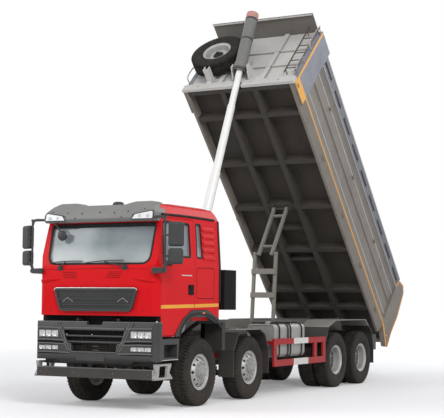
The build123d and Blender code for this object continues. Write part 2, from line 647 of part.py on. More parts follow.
# ---------------------------------------------------------------- front end
def bumper():
    """The bumper: a rounded wall with a chin, a barred opening, lamp pockets and a notch at the top."""
    front, rear = BUMPER_FRONT_Y, CAB_LOW_FRONT_Y - RUNNING_GAP
    plan = ((-BUMPER_HALF, rear, 0), (-BUMPER_HALF, front, 130), (BUMPER_HALF, front, 130),
            (BUMPER_HALF, rear, 0))
    side = ((rear, BUMPER_LOW_Z, 0), (front + 95, BUMPER_LOW_Z, 30), (front, BUMPER_LOW_Z + 110, 90),
            (front, BUMPER_HIGH_Z - 90, 90),
            (front + 30, BUMPER_HIGH_Z, 25), (rear, BUMPER_HIGH_Z, 0))
    body = along_z(plan, BUMPER_LOW_Z - 10, BUMPER_HIGH_Z + 10) & along_x(side, -OUTSIDE, OUTSIDE)
    body -= block((-BUMPER_HALF + BUMPER_RETURN, BUMPER_HALF - BUMPER_RETURN), (front + BUMPER_DEPTH, 0),
                  (BUMPER_LOW_Z - 10, BUMPER_HIGH_Z + 10))
    body -= along_y(BUMPER_OPENING, front - 10, front + BUMPER_DEPTH + 10)
    body -= along_y(BUMPER_NOTCH, front - 10, front + BUMPER_DEPTH + 10)
    body -= both_sides(prism_y(BUMPER_CORNER_CUT, front - 10, 0))
    for low, high, half in BUMPER_BARS:
        body += block((-half, half), (front + 22, front + 60), (low, high))
    for side_x in MIRROR:
        for low, high in LAMP_Z:
            x = sorted((side_x * LAMP_INNER_X, side_x * LAMP_OUTER_X))
            body -= block(x, (front - 10, front + LAMP_DEPTH), (low, high))
        body += block(sorted((side_x * 330, side_x * 420)), (front + BUMPER_DEPTH - 10, RAIL_FRONT_Y),
                      (830, 900))
    return body


def cab_steps():
    """A step housing under each door with a tread let into its outer face."""
    front = CAB_LOW_FRONT_Y - RUNNING_GAP
    outline = ((front, STEP_TREAD_Z, 0), (front, STEP_TOP_Z, 0), (STEP_REAR_Y, STEP_TOP_Z, 0),
               (STEP_REAR_Y - 40, STEP_TREAD_Z, 0))
    step = along_x(outline, STEP_INNER_X, BUMPER_HALF - 20)
    step -= block((STEP_INNER_X + 60, OUTSIDE), (front + 90, STEP_REAR_Y - 70),
                  (STEP_TREAD_Z + 40, STEP_TOP_Z - 90))
    step += block((RAIL_OUTER_X, STEP_INNER_X + 10), (front + 120, front + 200), (900, 980))
    return both_sides(step)


BUMPER_HALF = CAB_HALF_WIDTH + 40
BUMPER_FRONT_Y = CAB_FRONT_Y - 40
BUMPER_DEPTH = 75.0
BUMPER_RETURN = 70.0
BUMPER_LOW_Z = 700.0
BUMPER_HIGH_Z = 1398.0
BUMPER_CORNER_Z = 775.0
BUMPER_OPENING = tuple(  # x, z, corner radius
    (side * (BUMPER_HALF - inset), z, 20.0) for side, inset, z in (
        (-1, 580, 1255.0), (-1, 635, 1050.0), (-1, 725, 1040.0), (-1, 740, 912.0),
        (1, 740, 912.0), (1, 725, 1040.0), (1, 635, 1050.0), (1, 580, 1255.0)))
BUMPER_NOTCH = ((-165.0, 1440.0, 0), (-145.0, 1342.0, 12), (145.0, 1342.0, 12), (165.0, 1440.0, 0))
BUMPER_CORNER_CUT = (  # x, z below the bumper's ends
    (BUMPER_HALF - 560, BUMPER_LOW_Z - 10), (BUMPER_HALF - 450, BUMPER_CORNER_Z),
    (BUMPER_HALF + 120, BUMPER_CORNER_Z), (BUMPER_HALF + 120, BUMPER_LOW_Z - 10))
# low z, high z, half length
BUMPER_BARS = ((1150.0, 1174.0, BUMPER_HALF - 590), (1052.0, 1078.0, BUMPER_HALF - 615))
STEP_REAR_Y = -690.0
STEP_TREAD_Z = 790.0
STEP_TOP_Z = CAB_SKIRT_Z - 40
STEP_INNER_X = 930.0
LAMP_Z = ((925.0, 1010.0), (1130.0, 1260.0))
LAMP_INNER_X = BUMPER_HALF - 490
LAMP_OUTER_X = BUMPER_HALF - 85
LAMP_DEPTH = 62.0
LAMP_GAP = 4.0


def lamps():
    """Head and fog lamps set in the bumper, and a cluster at each rear corner."""
    body = Part()
    for side in MIRROR:
        for low, high in LAMP_Z:
            x = sorted((side * (LAMP_INNER_X + LAMP_GAP), side * (LAMP_OUTER_X - LAMP_GAP)))
            body += block(x, (BUMPER_FRONT_Y + 8, BUMPER_FRONT_Y + LAMP_DEPTH),
                          (low + LAMP_GAP, high - LAMP_GAP))
    rear = block(REAR_LAMP_X, (RAIL_REAR_Y - 230, RAIL_REAR_Y + 10), REAR_LAMP_Z)
    rear += block((RAIL_OUTER_X, REAR_LAMP_X[0] + 20), (RAIL_REAR_Y - 190, RAIL_REAR_Y - 50),
                  (REAR_LAMP_Z[1] - 200, REAR_LAMP_Z[1] - 80))
    return body + both_sides(rear)


REAR_LAMP_X = (620.0, 1180.0)
REAR_LAMP_Z = (700.0, 1040.0)


def underrun_bar():
    """A beam under the bumper on four hangers from a cross beam, with a cast frame at each end."""
    half = BUMPER_HALF - 70
    rear = BUMPER_FRONT_Y + UNDERRUN_DEPTH
    body = block((-half, half), (BUMPER_FRONT_Y, rear), (UNDERRUN_LOW_Z, UNDERRUN_HIGH_Z))
    for x in (70 - half, -RAIL_OUTER_X + 50, RAIL_OUTER_X - 50, half - 70):
        body += block((x - 20, x + 20), (rear + PIN_CLEARANCE, TOW_BEAM_FRONT_Y + 20),
                      (UNDERRUN_HIGH_Z - 50, UNDERRUN_HIGH_Z))
        body += block((x - 20, x + 20), (TOW_BEAM_FRONT_Y, TOW_BEAM_FRONT_Y + 20),
                      (UNDERRUN_HIGH_Z - 50, TOW_BEAM_LOW_Z - PIN_CLEARANCE))
    body += block((30 - half, half - 30), (TOW_BEAM_FRONT_Y, TOW_BEAM_FRONT_Y + 50),
                  (TOW_BEAM_LOW_Z, TOW_BEAM_LOW_Z + 80))
    body += both_sides(block((RAIL_OUTER_X - 100, RAIL_OUTER_X - 10),
                             (TOW_BEAM_FRONT_Y + 40, RAIL_FRONT_Y + 40), (TOW_BEAM_LOW_Z, RAIL_BOTTOM_Z)))
    return body + both_sides(end_frame(half))


def end_frame(half):
    """A cast frame of two flanges and two leaning uprights beside the end of the bar."""
    low, high = END_FRAME_LOW_Z, END_FRAME_HIGH_Z
    frame = prism_x([(BUMPER_FRONT_Y + y, low + z) for y, z in END_FRAME], half + PIN_CLEARANCE, half + 45)
    frame -= prism_x([(BUMPER_FRONT_Y + y, z) for y, z in ((130, low + 32), (150, high - 30),
                                                           (400, high - 30), (380, low + 32))],
                     half - 5, half + 60)
    return frame + block((half - 30 + PIN_CLEARANCE, half + 5), (TOW_BEAM_FRONT_Y, TOW_BEAM_FRONT_Y + 50),
                         (high - 30, high))


UNDERRUN_DEPTH = 70.0
TOW_BEAM_FRONT_Y = -1250.0
TOW_BEAM_LOW_Z = 700.0
UNDERRUN_LOW_Z = 495.0
UNDERRUN_HIGH_Z = 655.0
END_FRAME_LOW_Z = 496.0
END_FRAME_HIGH_Z = 736.0
END_FRAME = (  # y behind the bumper's front, z above the frame's foot, round the frame's outline
    (10, 0), (-10, 24), (60, 104), (30, 240), (510, 240), (510, 204), (450, 104), (540, 24), (550, 0))


# ---------------------------------------------------------------- cab
CAB_SIDE = (  # y, z, corner radius of the cab's side outline, from the nose's foot round to the rear
    (CAB_FRONT_Y + 60, CAB_SKIRT_Z, 0.0), (CAB_FRONT_Y + 22, 1490.0, 0.0), (CAB_FRONT_Y, 1960.0, 900.0),
    (CAB_FRONT_Y + 40, 2290.0, 250.0), (CAB_FRONT_Y + 215, 3020.0, 400.0), (CAB_FRONT_Y + 300, 3275.0, 130.0),
    (CAB_FRONT_Y + 900, CAB_ROOF_Z, 900.0), (CAB_REAR_Y, CAB_ROOF_Z, 210.0), (CAB_REAR_Y, CAB_SKIRT_Z, 0.0),
)
CAB_FRONT = (  # x, z, corner radius of half the cab's front outline, from the skirt up to the roof
    (CAB_HALF_WIDTH, CAB_SKIRT_Z, 0.0), (CAB_HALF_WIDTH, SILL_Z, 900.0), (CAB_HALF_WIDTH - 52, 3110.0, 90.0),
    (CAB_HALF_WIDTH - 150, 3290.0, 90.0), (CAB_HALF_WIDTH - 330, CAB_ROOF_Z, 300.0),
)
CAB_CORNER = 138.0
CAB_REAR_CORNER = 60.0
CAB_LOW_FRONT_Y = -1252.0
CAB_NOSE_Z = 1490.0


def cab_solid(inset):
    """The cab's outer form drawn in by inset: its side, front and plan outlines crossed."""
    along = along_x(CAB_SIDE, -2 * CAB_HALF_WIDTH, 2 * CAB_HALF_WIDTH, -inset)
    whole = CAB_FRONT + tuple((-x, z, radius) for x, z, radius in CAB_FRONT[::-1])
    across = along_y(whole, 2 * CAB_FRONT_Y, 2 * CAB_REAR_Y, -inset)
    plan = ((-CAB_HALF_WIDTH, CAB_REAR_Y, CAB_REAR_CORNER), (-CAB_HALF_WIDTH, CAB_FRONT_Y, CAB_CORNER),
            (CAB_HALF_WIDTH, CAB_FRONT_Y, CAB_CORNER), (CAB_HALF_WIDTH, CAB_REAR_Y, CAB_REAR_CORNER))
    return along & across & along_z(plan, 0, 2 * CAB_ROOF_Z, -inset)


def arch_outline(grow):
    """The wheel opening in the cab's side as (y, z) points, grown outward by grow."""
    return [(-ARCH_FRONT - grow, CAB_SKIRT_Z - 600), (-ARCH_FRONT - grow, CAB_SKIRT_Z + 30),
            (-ARCH_FRONT + 190 - grow * 0.6, ARCH_TOP_Z - 120 + grow * 0.7),
            (-ARCH_FRONT + 420, ARCH_TOP_Z + grow), (ARCH_FRONT - 420, ARCH_TOP_Z + grow),
            (ARCH_FRONT - 90 + grow * 0.6, ARCH_TOP_Z - 120 + grow * 0.7),
            (ARCH_FRONT + 80 + grow, CAB_SKIRT_Z + 200), (ARCH_FRONT + 80 + grow, CAB_SKIRT_Z - 600)]


SCREEN_HALF = CAB_HALF_WIDTH - 155
ARCH_FRONT = 690.0
ARCH_TOP_Z = 1470.0
ARCH_TRIM = 120.0

DOOR_OUTLINE = (  # y, z of the left door's opening
    (DOOR_FRONT_Y, CAB_SKIRT_Z + 8), (DOOR_FRONT_Y, SILL_Z - 10), (DOOR_FRONT_Y + 60, DOOR_TOP_Z),
    (DOOR_REAR_Y, DOOR_TOP_Z), (DOOR_REAR_Y, CAB_SKIRT_Z + 8),
)
DOOR_WINDOW = (  # y, z, corner radius; the sill steps down towards the front
    (DOOR_FRONT_Y + 75, SILL_Z + 10, 30.0), (DOOR_FRONT_Y + 108, DOOR_TOP_Z - 75, 35.0),
    (DOOR_REAR_Y - 130, DOOR_TOP_Z - 75, 40.0),
    (DOOR_REAR_Y - 120, SILL_Z + 155, 40.0), (DOOR_FRONT_Y + 420, SILL_Z + 155, 70.0),
    (DOOR_FRONT_Y + 330, SILL_Z + 10, 60.0),
)
QUARTER_WINDOW = ((-85.0, SILL_Z + 155, 35.0), (-85.0, DOOR_TOP_Z - 60, 35.0), (75.0, DOOR_TOP_Z - 60, 35.0),
                  (110.0, SILL_Z + 155, 35.0))
SCREEN = (  # x, z, corner radius
    (-SCREEN_HALF, 2325.0, 170.0), (-SCREEN_HALF - 25, 2975.0, 60.0), (SCREEN_HALF + 25, 2975.0, 60.0),
    (SCREEN_HALF, 2325.0, 170.0),
)
REAR_WINDOW = ((-480.0, 2420.0, 60.0), (-480.0, 2880.0, 60.0), (480.0, 2880.0, 60.0), (480.0, 2420.0, 60.0))
OUTSIDE = CAB_HALF_WIDTH + 200


def cab_walls():
    """The cab's skin with its floor, before doors and windows are cut."""
    walls = cab_solid(0)
    inner = cab_solid(CAB_WALL)
    walls -= inner & block((-OUTSIDE, OUTSIDE), (-2000, 2000), (CAB_FLOOR_Z, CAB_ROOF_Z + 100))
    under = block((-CAB_HALF_WIDTH + CAB_WALL, CAB_HALF_WIDTH - CAB_WALL),
                  (CAB_FRONT_Y + 90, CAB_REAR_Y - 40),
                  (CAB_SKIRT_Z - 100, CAB_FLOOR_Z - CAB_FLOOR_THICKNESS))
    walls -= under
    walls -= block((-OUTSIDE, OUTSIDE), (-2000, CAB_LOW_FRONT_Y), (0, CAB_NOSE_Z))
    walls -= prism_x(arch_outline(ARCH_TRIM), -OUTSIDE, OUTSIDE) & block((-OUTSIDE, OUTSIDE), (-2000, 2000),
                                                                         (0, CAB_FLOOR_Z - CAB_FLOOR_THICKNESS))
    walls -= both_sides(prism_x(arch_outline(ARCH_TRIM), CAB_HALF_WIDTH - CAB_WALL - 1, OUTSIDE))
    return walls


def cab_shell(walls):
    """The cab's walls with the door and window openings cut."""
    body = walls - both_sides(prism_x(DOOR_OUTLINE, CAB_HALF_WIDTH - CAB_WALL - 2 * PANEL_GAP - 50, OUTSIDE))
    body -= both_sides(along_x(QUARTER_WINDOW, CAB_HALF_WIDTH - 300, OUTSIDE))
    body -= along_y(SCREEN, CAB_FRONT_Y - 100, CAB_FRONT_Y + 600)
    body -= along_y(REAR_WINDOW, CAB_REAR_Y - 100, CAB_REAR_Y + 100)
    lug = prism_x([(CAB_LOW_FRONT_Y + 10, CAB_FLOOR_Z - CAB_FLOOR_THICKNESS),
                   (CAB_LOW_FRONT_Y + 10, CAB_FLOOR_Z), (CAB_PIVOT_Y, CAB_PIVOT_Z + 34),
                   (CAB_PIVOT_Y - 30, CAB_PIVOT_Z), (CAB_PIVOT_Y, CAB_PIVOT_Z - 34)], TOWER_X - 60,
                   TOWER_X - RUNNING_GAP)
    lug -= rod_x(CAB_PIN_RADIUS + PIN_CLEARANCE, 0, TOWER_X, CAB_PIVOT_Y, CAB_PIVOT_Z)
    body += both_sides(lug)
    return body


def door(walls):
    """The left door's panel with its window cut and its front edge rounded about the hinge."""
    outline = offset(Plane.YZ * Polygon(*DOOR_OUTLINE, align=None), -PANEL_GAP)
    panel = walls & (Pos(CAB_HALF_WIDTH - 2 * CAB_WALL, 0, 0) * extrude(outline, OUTSIDE, (1, 0, 0)))
    panel -= block((0, CAB_HALF_WIDTH - CAB_WALL), (-2000, 2000), (CAB_SKIRT_Z - 10, SILL_Z - 50))
    x, y, low, high = CAB_HALF_WIDTH - PANEL_GAP, DOOR_FRONT_Y + 2 * PANEL_GAP, CAB_SKIRT_Z, DOOR_NOSE_TOP_Z
    panel -= block((x, OUTSIDE), (DOOR_FRONT_Y, y), (low, high)) - rod_z(PANEL_GAP, low - 1, high + 1, x, y)
    return panel - along_x(DOOR_WINDOW, CAB_HALF_WIDTH - 300, OUTSIDE)


DOOR_NOSE_TOP_Z = 1800.0


def pane(opening):
    """Glass that fills an opening, set half way into the cab's wall."""
    middle = CAB_WALL / 2
    return (cab_solid(middle) - cab_solid(middle + GLASS_THICKNESS)) & opening


def cab_glass():
    """Windscreen, fixed side panes and rear window."""
    body = pane(along_y(SCREEN, CAB_FRONT_Y - 100, CAB_FRONT_Y + 600))
    body += pane(both_sides(along_x(QUARTER_WINDOW, CAB_HALF_WIDTH - 300, OUTSIDE)))
    body += pane(along_y(REAR_WINDOW, CAB_REAR_Y - 100, CAB_REAR_Y + 100))
    return body


def door_glass():
    """The left door's pane."""
    return pane(along_x(DOOR_WINDOW, CAB_HALF_WIDTH - 300, OUTSIDE))


def grille_panel():
    """A dark trapezoid on the nose: a rim round a recess, with two bars across it."""
    front = CAB_FRONT_Y - GRILLE_PROUD
    body = along_y(GRILLE, front, CAB_FRONT_Y + 10)
    body -= along_y(GRILLE, front - 10, CAB_FRONT_Y - 12, -45.0)
    for low, high, half in GRILLE_BARS:
        body += block((-half, half), (CAB_FRONT_Y - 26, CAB_FRONT_Y - 10), (low, high))
    return body - cab_solid(0)


GRILLE_PROUD = 30.0
GRILLE = (  # x, z, corner radius
    (325 - CAB_HALF_WIDTH, 1940.0, 50.0), (450 - CAB_HALF_WIDTH, 1560.0, 90.0),
    (CAB_HALF_WIDTH - 450, 1560.0, 90.0), (CAB_HALF_WIDTH - 325, 1940.0, 50.0))
# low z, high z, half length
GRILLE_BARS = ((1655.0, 1680.0, CAB_HALF_WIDTH - 465), (1745.0, 1770.0, CAB_HALF_WIDTH - 435))


def sun_visor():
    """A deep visor over the windscreen, higher at both ends, with a pocket at each end for lamps."""
    y = CAB_FRONT_Y
    side = ((y + 85, 3010, 14), (y + 30, 3060, 30), (y + 75, 3190, 120), (y + 250, 3335, 120),
            (y + 430, 3372, 60),
            (y + 520, 3345, 15), (y + 520, 3300, 0), (y + 300, 3100, 0), (y + 240, 3010, 0))
    body = along_x(side, -VISOR_HALF, VISOR_HALF) & along_y(VISOR_FRONT, y - 100, y + 700)
    for side_x in MIRROR:
        x = sorted((side_x * (VISOR_HALF - 430), side_x * (VISOR_HALF - 60)))
        body -= block(x, (y - 100, y + 62), (3035, 3115))
    return body - cab_solid(-PIN_CLEARANCE)


VISOR_HALF = CAB_HALF_WIDTH - 65
VISOR_FRONT = (  # x, z, corner radius of the visor's front outline
    (-VISOR_HALF, 2990.0, 30.0), (-VISOR_HALF, 3150.0, 60.0), (-VISOR_HALF + 85, 3275.0, 60.0),
    (-VISOR_HALF + 195, 3342.0, 60.0),
    (-590.0, 3342.0, 80.0), (-420.0, 3288.0, 80.0), (420.0, 3288.0, 80.0), (590.0, 3342.0, 80.0),
    (VISOR_HALF - 195, 3342.0, 60.0), (VISOR_HALF - 85, 3275.0, 60.0), (VISOR_HALF, 3150.0, 60.0),
    (VISOR_HALF, 2990.0, 30.0),
)


def seats():
    """Two seats, each a cushion and a back, and a bunk behind them."""
    body = Part()
    for x in MIRROR:
        middle = x * 520
        body += block((middle - 260, middle + 260), (-720, -200), (CAB_FLOOR_Z + 280, CAB_FLOOR_Z + 420))
        body += block((middle - 250, middle + 250), (-190, -60), (CAB_FLOOR_Z + 300, CAB_FLOOR_Z + 1100))
        body += block((middle - 180, middle + 180), (-640, -220), (CAB_FLOOR_Z, CAB_FLOOR_Z + 280))
        body += block((middle - 60, middle + 60), (-200, -180), (CAB_FLOOR_Z + 300, CAB_FLOOR_Z + 400))
    body += block((-900, 900), (120, 640), (CAB_FLOOR_Z, CAB_FLOOR_Z + 420))
    return body


def dashboard():
    """A dash across the cab with the steering wheel on its column."""
    outline = [(-1285, CAB_FLOOR_Z), (-1285, 2230), (-1080, 2250), (-960, 2120), (-1000, 1900),
               (-1080, CAB_FLOOR_Z)]
    body = prism_x(outline, -CAB_HALF_WIDTH + 130, CAB_HALF_WIDTH - 130)
    tilt = Rot(40, 0, 0)
    wheel = Pos(520, -870, 2190) * tilt * (Torus(215, 16) + Box(420, 30, 12) + Cylinder(55, 30))
    column = Pos(520, -870, 2190) * tilt * Pos(0, 0, -130) * Cylinder(28, 260)
    return body + wheel + column


def arch_trim():
    """The left arch's dark trim with its liner over the tyre."""
    trim = prism_x(arch_outline(ARCH_TRIM - PANEL_GAP), CAB_HALF_WIDTH - 330, CAB_HALF_WIDTH + 15)
    return trim - prism_x(arch_outline(0), 0, OUTSIDE)


def wheel_arches():
    """The part of each arch's trim that tilts with the cab."""
    trim = arch_trim() & block((0, OUTSIDE), (-2000, ARCH_SPLIT_Y), (CAB_SKIRT_Z + 5, CAB_FLOOR_Z + 200))
    trim -= block((0, CAB_HALF_WIDTH - CAB_WALL - 1), (-2000, 2000),
                  (CAB_FLOOR_Z - CAB_FLOOR_THICKNESS - 0.5, CAB_FLOOR_Z + 200))
    return both_sides(trim)


ARCH_SPLIT_Y = CAB_REAR_Y + 40


def mirrors():
    """Two heads on a bent arm at each side: below on the cab's corner, above on the visor's end."""
    x_arm = CAB_HALF_WIDTH + 150
    x_head = CAB_HALF_WIDTH + 200
    body = rod_z(18, 2225, 3060, x_arm, MIRROR_Y)
    for low, high, width, stay in MIRROR_HEADS:
        head = block((x_head, x_head + width), (MIRROR_Y - 60, MIRROR_Y + 50), (low, high))
        head = fillet(head.edges(), 42) + block((x_arm, x_head + 10), (MIRROR_Y - 15, MIRROR_Y + 15),
                                                (stay, stay + 30))
        body += head.rotate(Axis((x_arm, MIRROR_Y, 0), (0, 0, 1)), MIRROR_TURN)
    body += block((CAB_HALF_WIDTH - 80, x_arm + 18), (MIRROR_Y - 25, MIRROR_Y + 25), (2190, 2240))
    body += block((CAB_HALF_WIDTH - 80, CAB_HALF_WIDTH - 40), (MIRROR_Y - 20, DOOR_FRONT_Y - 20),
                  (2195, 2235))
    body += block((VISOR_HALF + RUNNING_GAP, x_arm + 18), (MIRROR_Y - 20, MIRROR_Y + 20), (3040, 3075))
    body += block((VISOR_HALF, VISOR_HALF + 34), (MIRROR_Y - 20, DOOR_FRONT_Y - 40), (3045, 3070))
    return both_sides(body) - cab_solid(0)


MIRROR_Y = -1390.0
MIRROR_TURN = 28.0
# low z, high z, width, stay z
MIRROR_HEADS = ((2590.0, 2980.0, 250.0, 2750.0), (2310.0, 2560.0, 240.0, 2420.0))


def air_intake():
    """The black intake box behind the cab, on a leg from the rail."""
    body = block(INTAKE_X, INTAKE_Y, INTAKE_Z)
    body += block((INTAKE_X[0], INTAKE_X[0] + 80), (INTAKE_Y[0] + 120, INTAKE_Y[0] + 220),
                  (RAIL_TOP_Z - 120, INTAKE_Z[0] + 10))
    body += block((RAIL_OUTER_X, INTAKE_X[0] + 80), (INTAKE_Y[0] + 120, INTAKE_Y[0] + 220),
                  (RAIL_TOP_Z - 120, RAIL_TOP_Z - 60))
    return body


INTAKE_X = (660.0, 1190.0)
INTAKE_Y = (780.0, 1210.0)
INTAKE_Z = (1590.0, 2280.0)


# ---------------------------------------------------------------- dump body, drawn level about its hinge
BED_FLOOR = BED_FLOOR_ABOVE_HINGE
BED_LOW = BED_UNDERSIDE_ABOVE_HINGE
BED_FRONT = -BED_FRONT_FROM_HINGE
BED_SEAM = -BED_SEAM_FROM_HINGE
POST_OUTLINE = (  # y back from the seam, z above the floor, of the plate at each rear corner
    (-45.0, 1250.0), (50.0, 1480.0), (280.0, 1580.0), (410.0, 1460.0), (515.0, 790.0), (500.0, 260.0),
    (556.0, -145.0), (460.0, -220.0), (0.0, -20.0), (-45.0, -20.0),
)
POST_LEVEL = tuple((BED_SEAM + y, BED_FLOOR + z) for y, z in POST_OUTLINE)
GATE_FRONT = BED_SEAM + 392.0
GATE_PIVOT = (BED_SEAM + 320.0, BED_FLOOR + 1465.0)
BED_TOP = BED_FLOOR + BED_SIDE_HEIGHT
BED_PILLAR_TOP = BED_FLOOR + BED_PILLAR_HEIGHT
RAISED = Pos(0, HINGE_Y, HINGE_Z) * Rot(-TIP_ANGLE, 0, 0)
BEAM_X = 370.0
BEAM_WIDTH = 110.0
BED_CROSS_SPACING = 1190.0
BED_CROSS_COUNT = 6
BED_CROSS_FIRST = BED_SEAM - 1225
FLOOR_THICKNESS = 20.0
INNER_X = BED_HALF_WIDTH - 110
HOIST_NOTCH = 90.0


def bed_floor():
    """Floor plate on two long beams and a row of crossmembers, with the hinge lugs."""
    plate_low = BED_FLOOR - FLOOR_THICKNESS
    body = block((-INNER_X, INNER_X), (BED_FRONT + BED_WALL, GATE_FRONT - RUNNING_GAP),
                 (plate_low, BED_FLOOR))
    for side in MIRROR:
        x = side * BEAM_X
        body += block((x - BEAM_WIDTH / 2, x + BEAM_WIDTH / 2), (BED_FRONT + 60, BED_SEAM + 250),
                      (BED_LOW, plate_low))
    half = 45.0
    stations = [BED_CROSS_FIRST - BED_CROSS_SPACING * index for index in range(BED_CROSS_COUNT - 1)]
    stations += [BED_SEAM - 700, BED_FRONT + 55]
    for y in stations:
        body += block((-INNER_X + 5, INNER_X - 5), (y - half, y + half), (BED_LOW + 10, plate_low))
    for y in (BED_SEAM - 2115, BED_SEAM - 3000):
        body += block((-BEAM_X, BEAM_X), (y - 35, y + 35), (BED_LOW + 60, plate_low))
    body -= block((-HOIST_NOTCH, HOIST_NOTCH), (BED_FRONT - 10, BED_FRONT + 45), (0, plate_low - 60))
    lug = prism_x([(-75, BED_LOW), (-60, -40), (-30, -62), (30, -62), (60, -40), (75, BED_LOW)], BEAM_X - 35,
                  BEAM_X + 15)
    lug -= rod_x(HINGE_PIN_RADIUS + PIN_CLEARANCE, 0, BED_HALF_WIDTH, 0, 0)
    body += both_sides(lug)
    eye = prism_x([(-LINK_BED_FROM_HINGE - 45, BED_LOW + 10),
                   (-LINK_BED_FROM_HINGE - 35, LINK_BED_ABOVE_HINGE - 35),
                   (-LINK_BED_FROM_HINGE + 35, LINK_BED_ABOVE_HINGE - 35),
                   (-LINK_BED_FROM_HINGE + 45, BED_LOW + 10)],
                  UPPER_LINK_HALF + LINK_TUBE / 2 + RUNNING_GAP,
                  UPPER_LINK_HALF + LINK_TUBE / 2 + RUNNING_GAP + 20)
    body += both_sides(eye)
    body += block((-BEAM_X, BEAM_X), (-LINK_BED_FROM_HINGE - 45, -LINK_BED_FROM_HINGE + 45),
                  (BED_LOW + 10, plate_low))
    body += rod_x(LINK_PIN_RADIUS, -UPPER_LINK_HALF - LINK_TUBE, UPPER_LINK_HALF + LINK_TUBE,
                  -LINK_BED_FROM_HINGE, LINK_BED_ABOVE_HINGE)
    return RAISED * body


LINK_PIN_RADIUS = 20.0


def bed_sides():
    """Side walls: sloped sill, recessed panel with ribs, slotted top rail, wide end pillars."""
    outer = BED_HALF_WIDTH
    section = [(INNER_X, BED_FLOOR - FLOOR_THICKNESS), (INNER_X, BED_LOW), (INNER_X + 50, BED_LOW),
               (outer, BED_FLOOR - 30),
               (outer, BED_FLOOR + 140), (outer - 45, BED_FLOOR + 200), (outer - 45, BED_FLOOR + 1140),
               (outer, BED_FLOOR + 1180),
               (outer, BED_TOP), (INNER_X, BED_TOP)]
    wall = prism_y(section, BED_FRONT, BED_SEAM)
    wall += block((outer - 50, outer - 25), (BED_FRONT, BED_SEAM), (BED_FLOOR + 640, BED_FLOOR + 680))
    front = block((INNER_X, outer), (BED_FRONT, BED_FRONT + BED_PILLAR_DEPTH), (BED_LOW + 30, BED_PILLAR_TOP))
    rear = prism_x(POST_LEVEL, INNER_X, outer)
    rear -= rod_x(GATE_PIN_RADIUS + PIN_CLEARANCE, INNER_X - 5, INNER_X + 50, *GATE_PIVOT)
    wall += front + rear
    for index in range(SLOT_COUNT):
        y = BED_FRONT + SLOT_FIRST + SLOT_PITCH * index
        wall -= block((outer - 35, outer + 10), (y, y + SLOT_LENGTH),
                      (BED_FLOOR + SLOT_LOW, BED_FLOOR + SLOT_LOW + SLOT_HEIGHT))
    return RAISED * both_sides(wall)


SLOT_COUNT = 9
SLOT_FIRST = 545.0
SLOT_PITCH = 700.0
SLOT_LENGTH = 450.0
SLOT_LOW = 1300.0
SLOT_HEIGHT = 85.0


def bed_front():
    """Front wall with ribs, bottom beam, canopy and the hoist's trunnion bracket."""
    wall_front = BED_FRONT
    body = block((-INNER_X, INNER_X), (wall_front, wall_front + BED_WALL),
                 (BED_FLOOR - FLOOR_THICKNESS, BED_PILLAR_TOP))
    body += block((-BED_HALF_WIDTH, BED_HALF_WIDTH), (wall_front - 60, wall_front), (BED_LOW, BED_FLOOR - 60))
    body -= block((-HOIST_NOTCH, HOIST_NOTCH), (wall_front - 70, wall_front), (0, BED_FLOOR - 40))
    for x in MIRROR:
        body += block((x * 470 - 50, x * 470 + 50), (wall_front - 40, wall_front),
                      (BED_FLOOR - 60, BED_PILLAR_TOP))
    for z in (BED_FLOOR + 460, BED_FLOOR + 1000):
        body += block((-INNER_X, INNER_X), (wall_front - 30, wall_front), (z - 25, z + 25))
    half = INNER_X + 10
    body += block((-half, half), (wall_front - CANOPY_REACH, wall_front + BED_WALL),
                  (BED_PILLAR_TOP, BED_PILLAR_TOP + 20))
    body += block((-half, half), (wall_front - CANOPY_REACH, wall_front - CANOPY_REACH + 20),
                  (BED_PILLAR_TOP - 40, BED_PILLAR_TOP))
    pivot_y = wall_front - TRUNNION_FROM_WALL
    pivot_z = BED_FLOOR + TRUNNION_ABOVE_FLOOR
    arm_x = COVER_RADIUS + 40
    arm = prism_x([(wall_front - 5, pivot_z - 190), (pivot_y - 45, pivot_z - 60),
                   (pivot_y - 45, pivot_z + 45), (pivot_y + 45, pivot_z + 60),
                   (wall_front - 5, pivot_z + 150)], arm_x, arm_x + 25)
    arm += rod_x(25, COVER_RADIUS + TRUNNION_BOSS + 5, arm_x + 5, pivot_y, pivot_z)
    arm += block((arm_x, arm_x + 25), (wall_front - 60, wall_front), (pivot_z - 190, pivot_z + 150))
    body += both_sides(arm)
    carrier = block((SPARE_X - 60, SPARE_X + 60), (wall_front - 60, wall_front),
                    (BED_FLOOR - 50, SPARE_Z + 150))
    body += carrier
    body += rod_y(60, SPARE_Y + SPARE_DISH, wall_front - 40, SPARE_X, SPARE_Z)
    return RAISED * body


TRUNNION_BOSS = 20.0
SPARE_X = -705.0
SPARE_Z = BED_FLOOR + 700
SPARE_Y = BED_FRONT - 65 - TYRE_WIDTH / 2
SPARE_DISH = 20.0


def spare(kind):
    """The spare wheel, flat against the front wall."""
    turn = Pos(SPARE_X, SPARE_Y, SPARE_Z) * Rot(0, 0, -90)
    if kind == "tyre":
        return RAISED * turn * tyre(0, 0, 0)
    body = turned_x(rim_shell(1), 0, 0, 0) + turned_x(disc(1, -SPARE_DISH, 140, 16), 0, 0, 0)
    return RAISED * turn * body


def ladder():
    """Two stiles and six rungs at the left end of the front wall."""
    y = BED_FRONT - 120
    body = Part()
    for x in (LADDER_X - LADDER_HALF, LADDER_X + LADDER_HALF):
        body += rod_z(14, BED_FLOOR + 30, BED_PILLAR_TOP - 5, x, y)
        for z in (BED_FLOOR + 120, BED_PILLAR_TOP - 140):
            body += rod_y(10, y, BED_FRONT, x, z)
    for index in range(6):
        body += rod_x(11, LADDER_X - LADDER_HALF, LADDER_X + LADDER_HALF, y, BED_FLOOR + 160 + 270 * index)
    return RAISED * body


LADDER_X = 1100.0
LADDER_HALF = 120.0


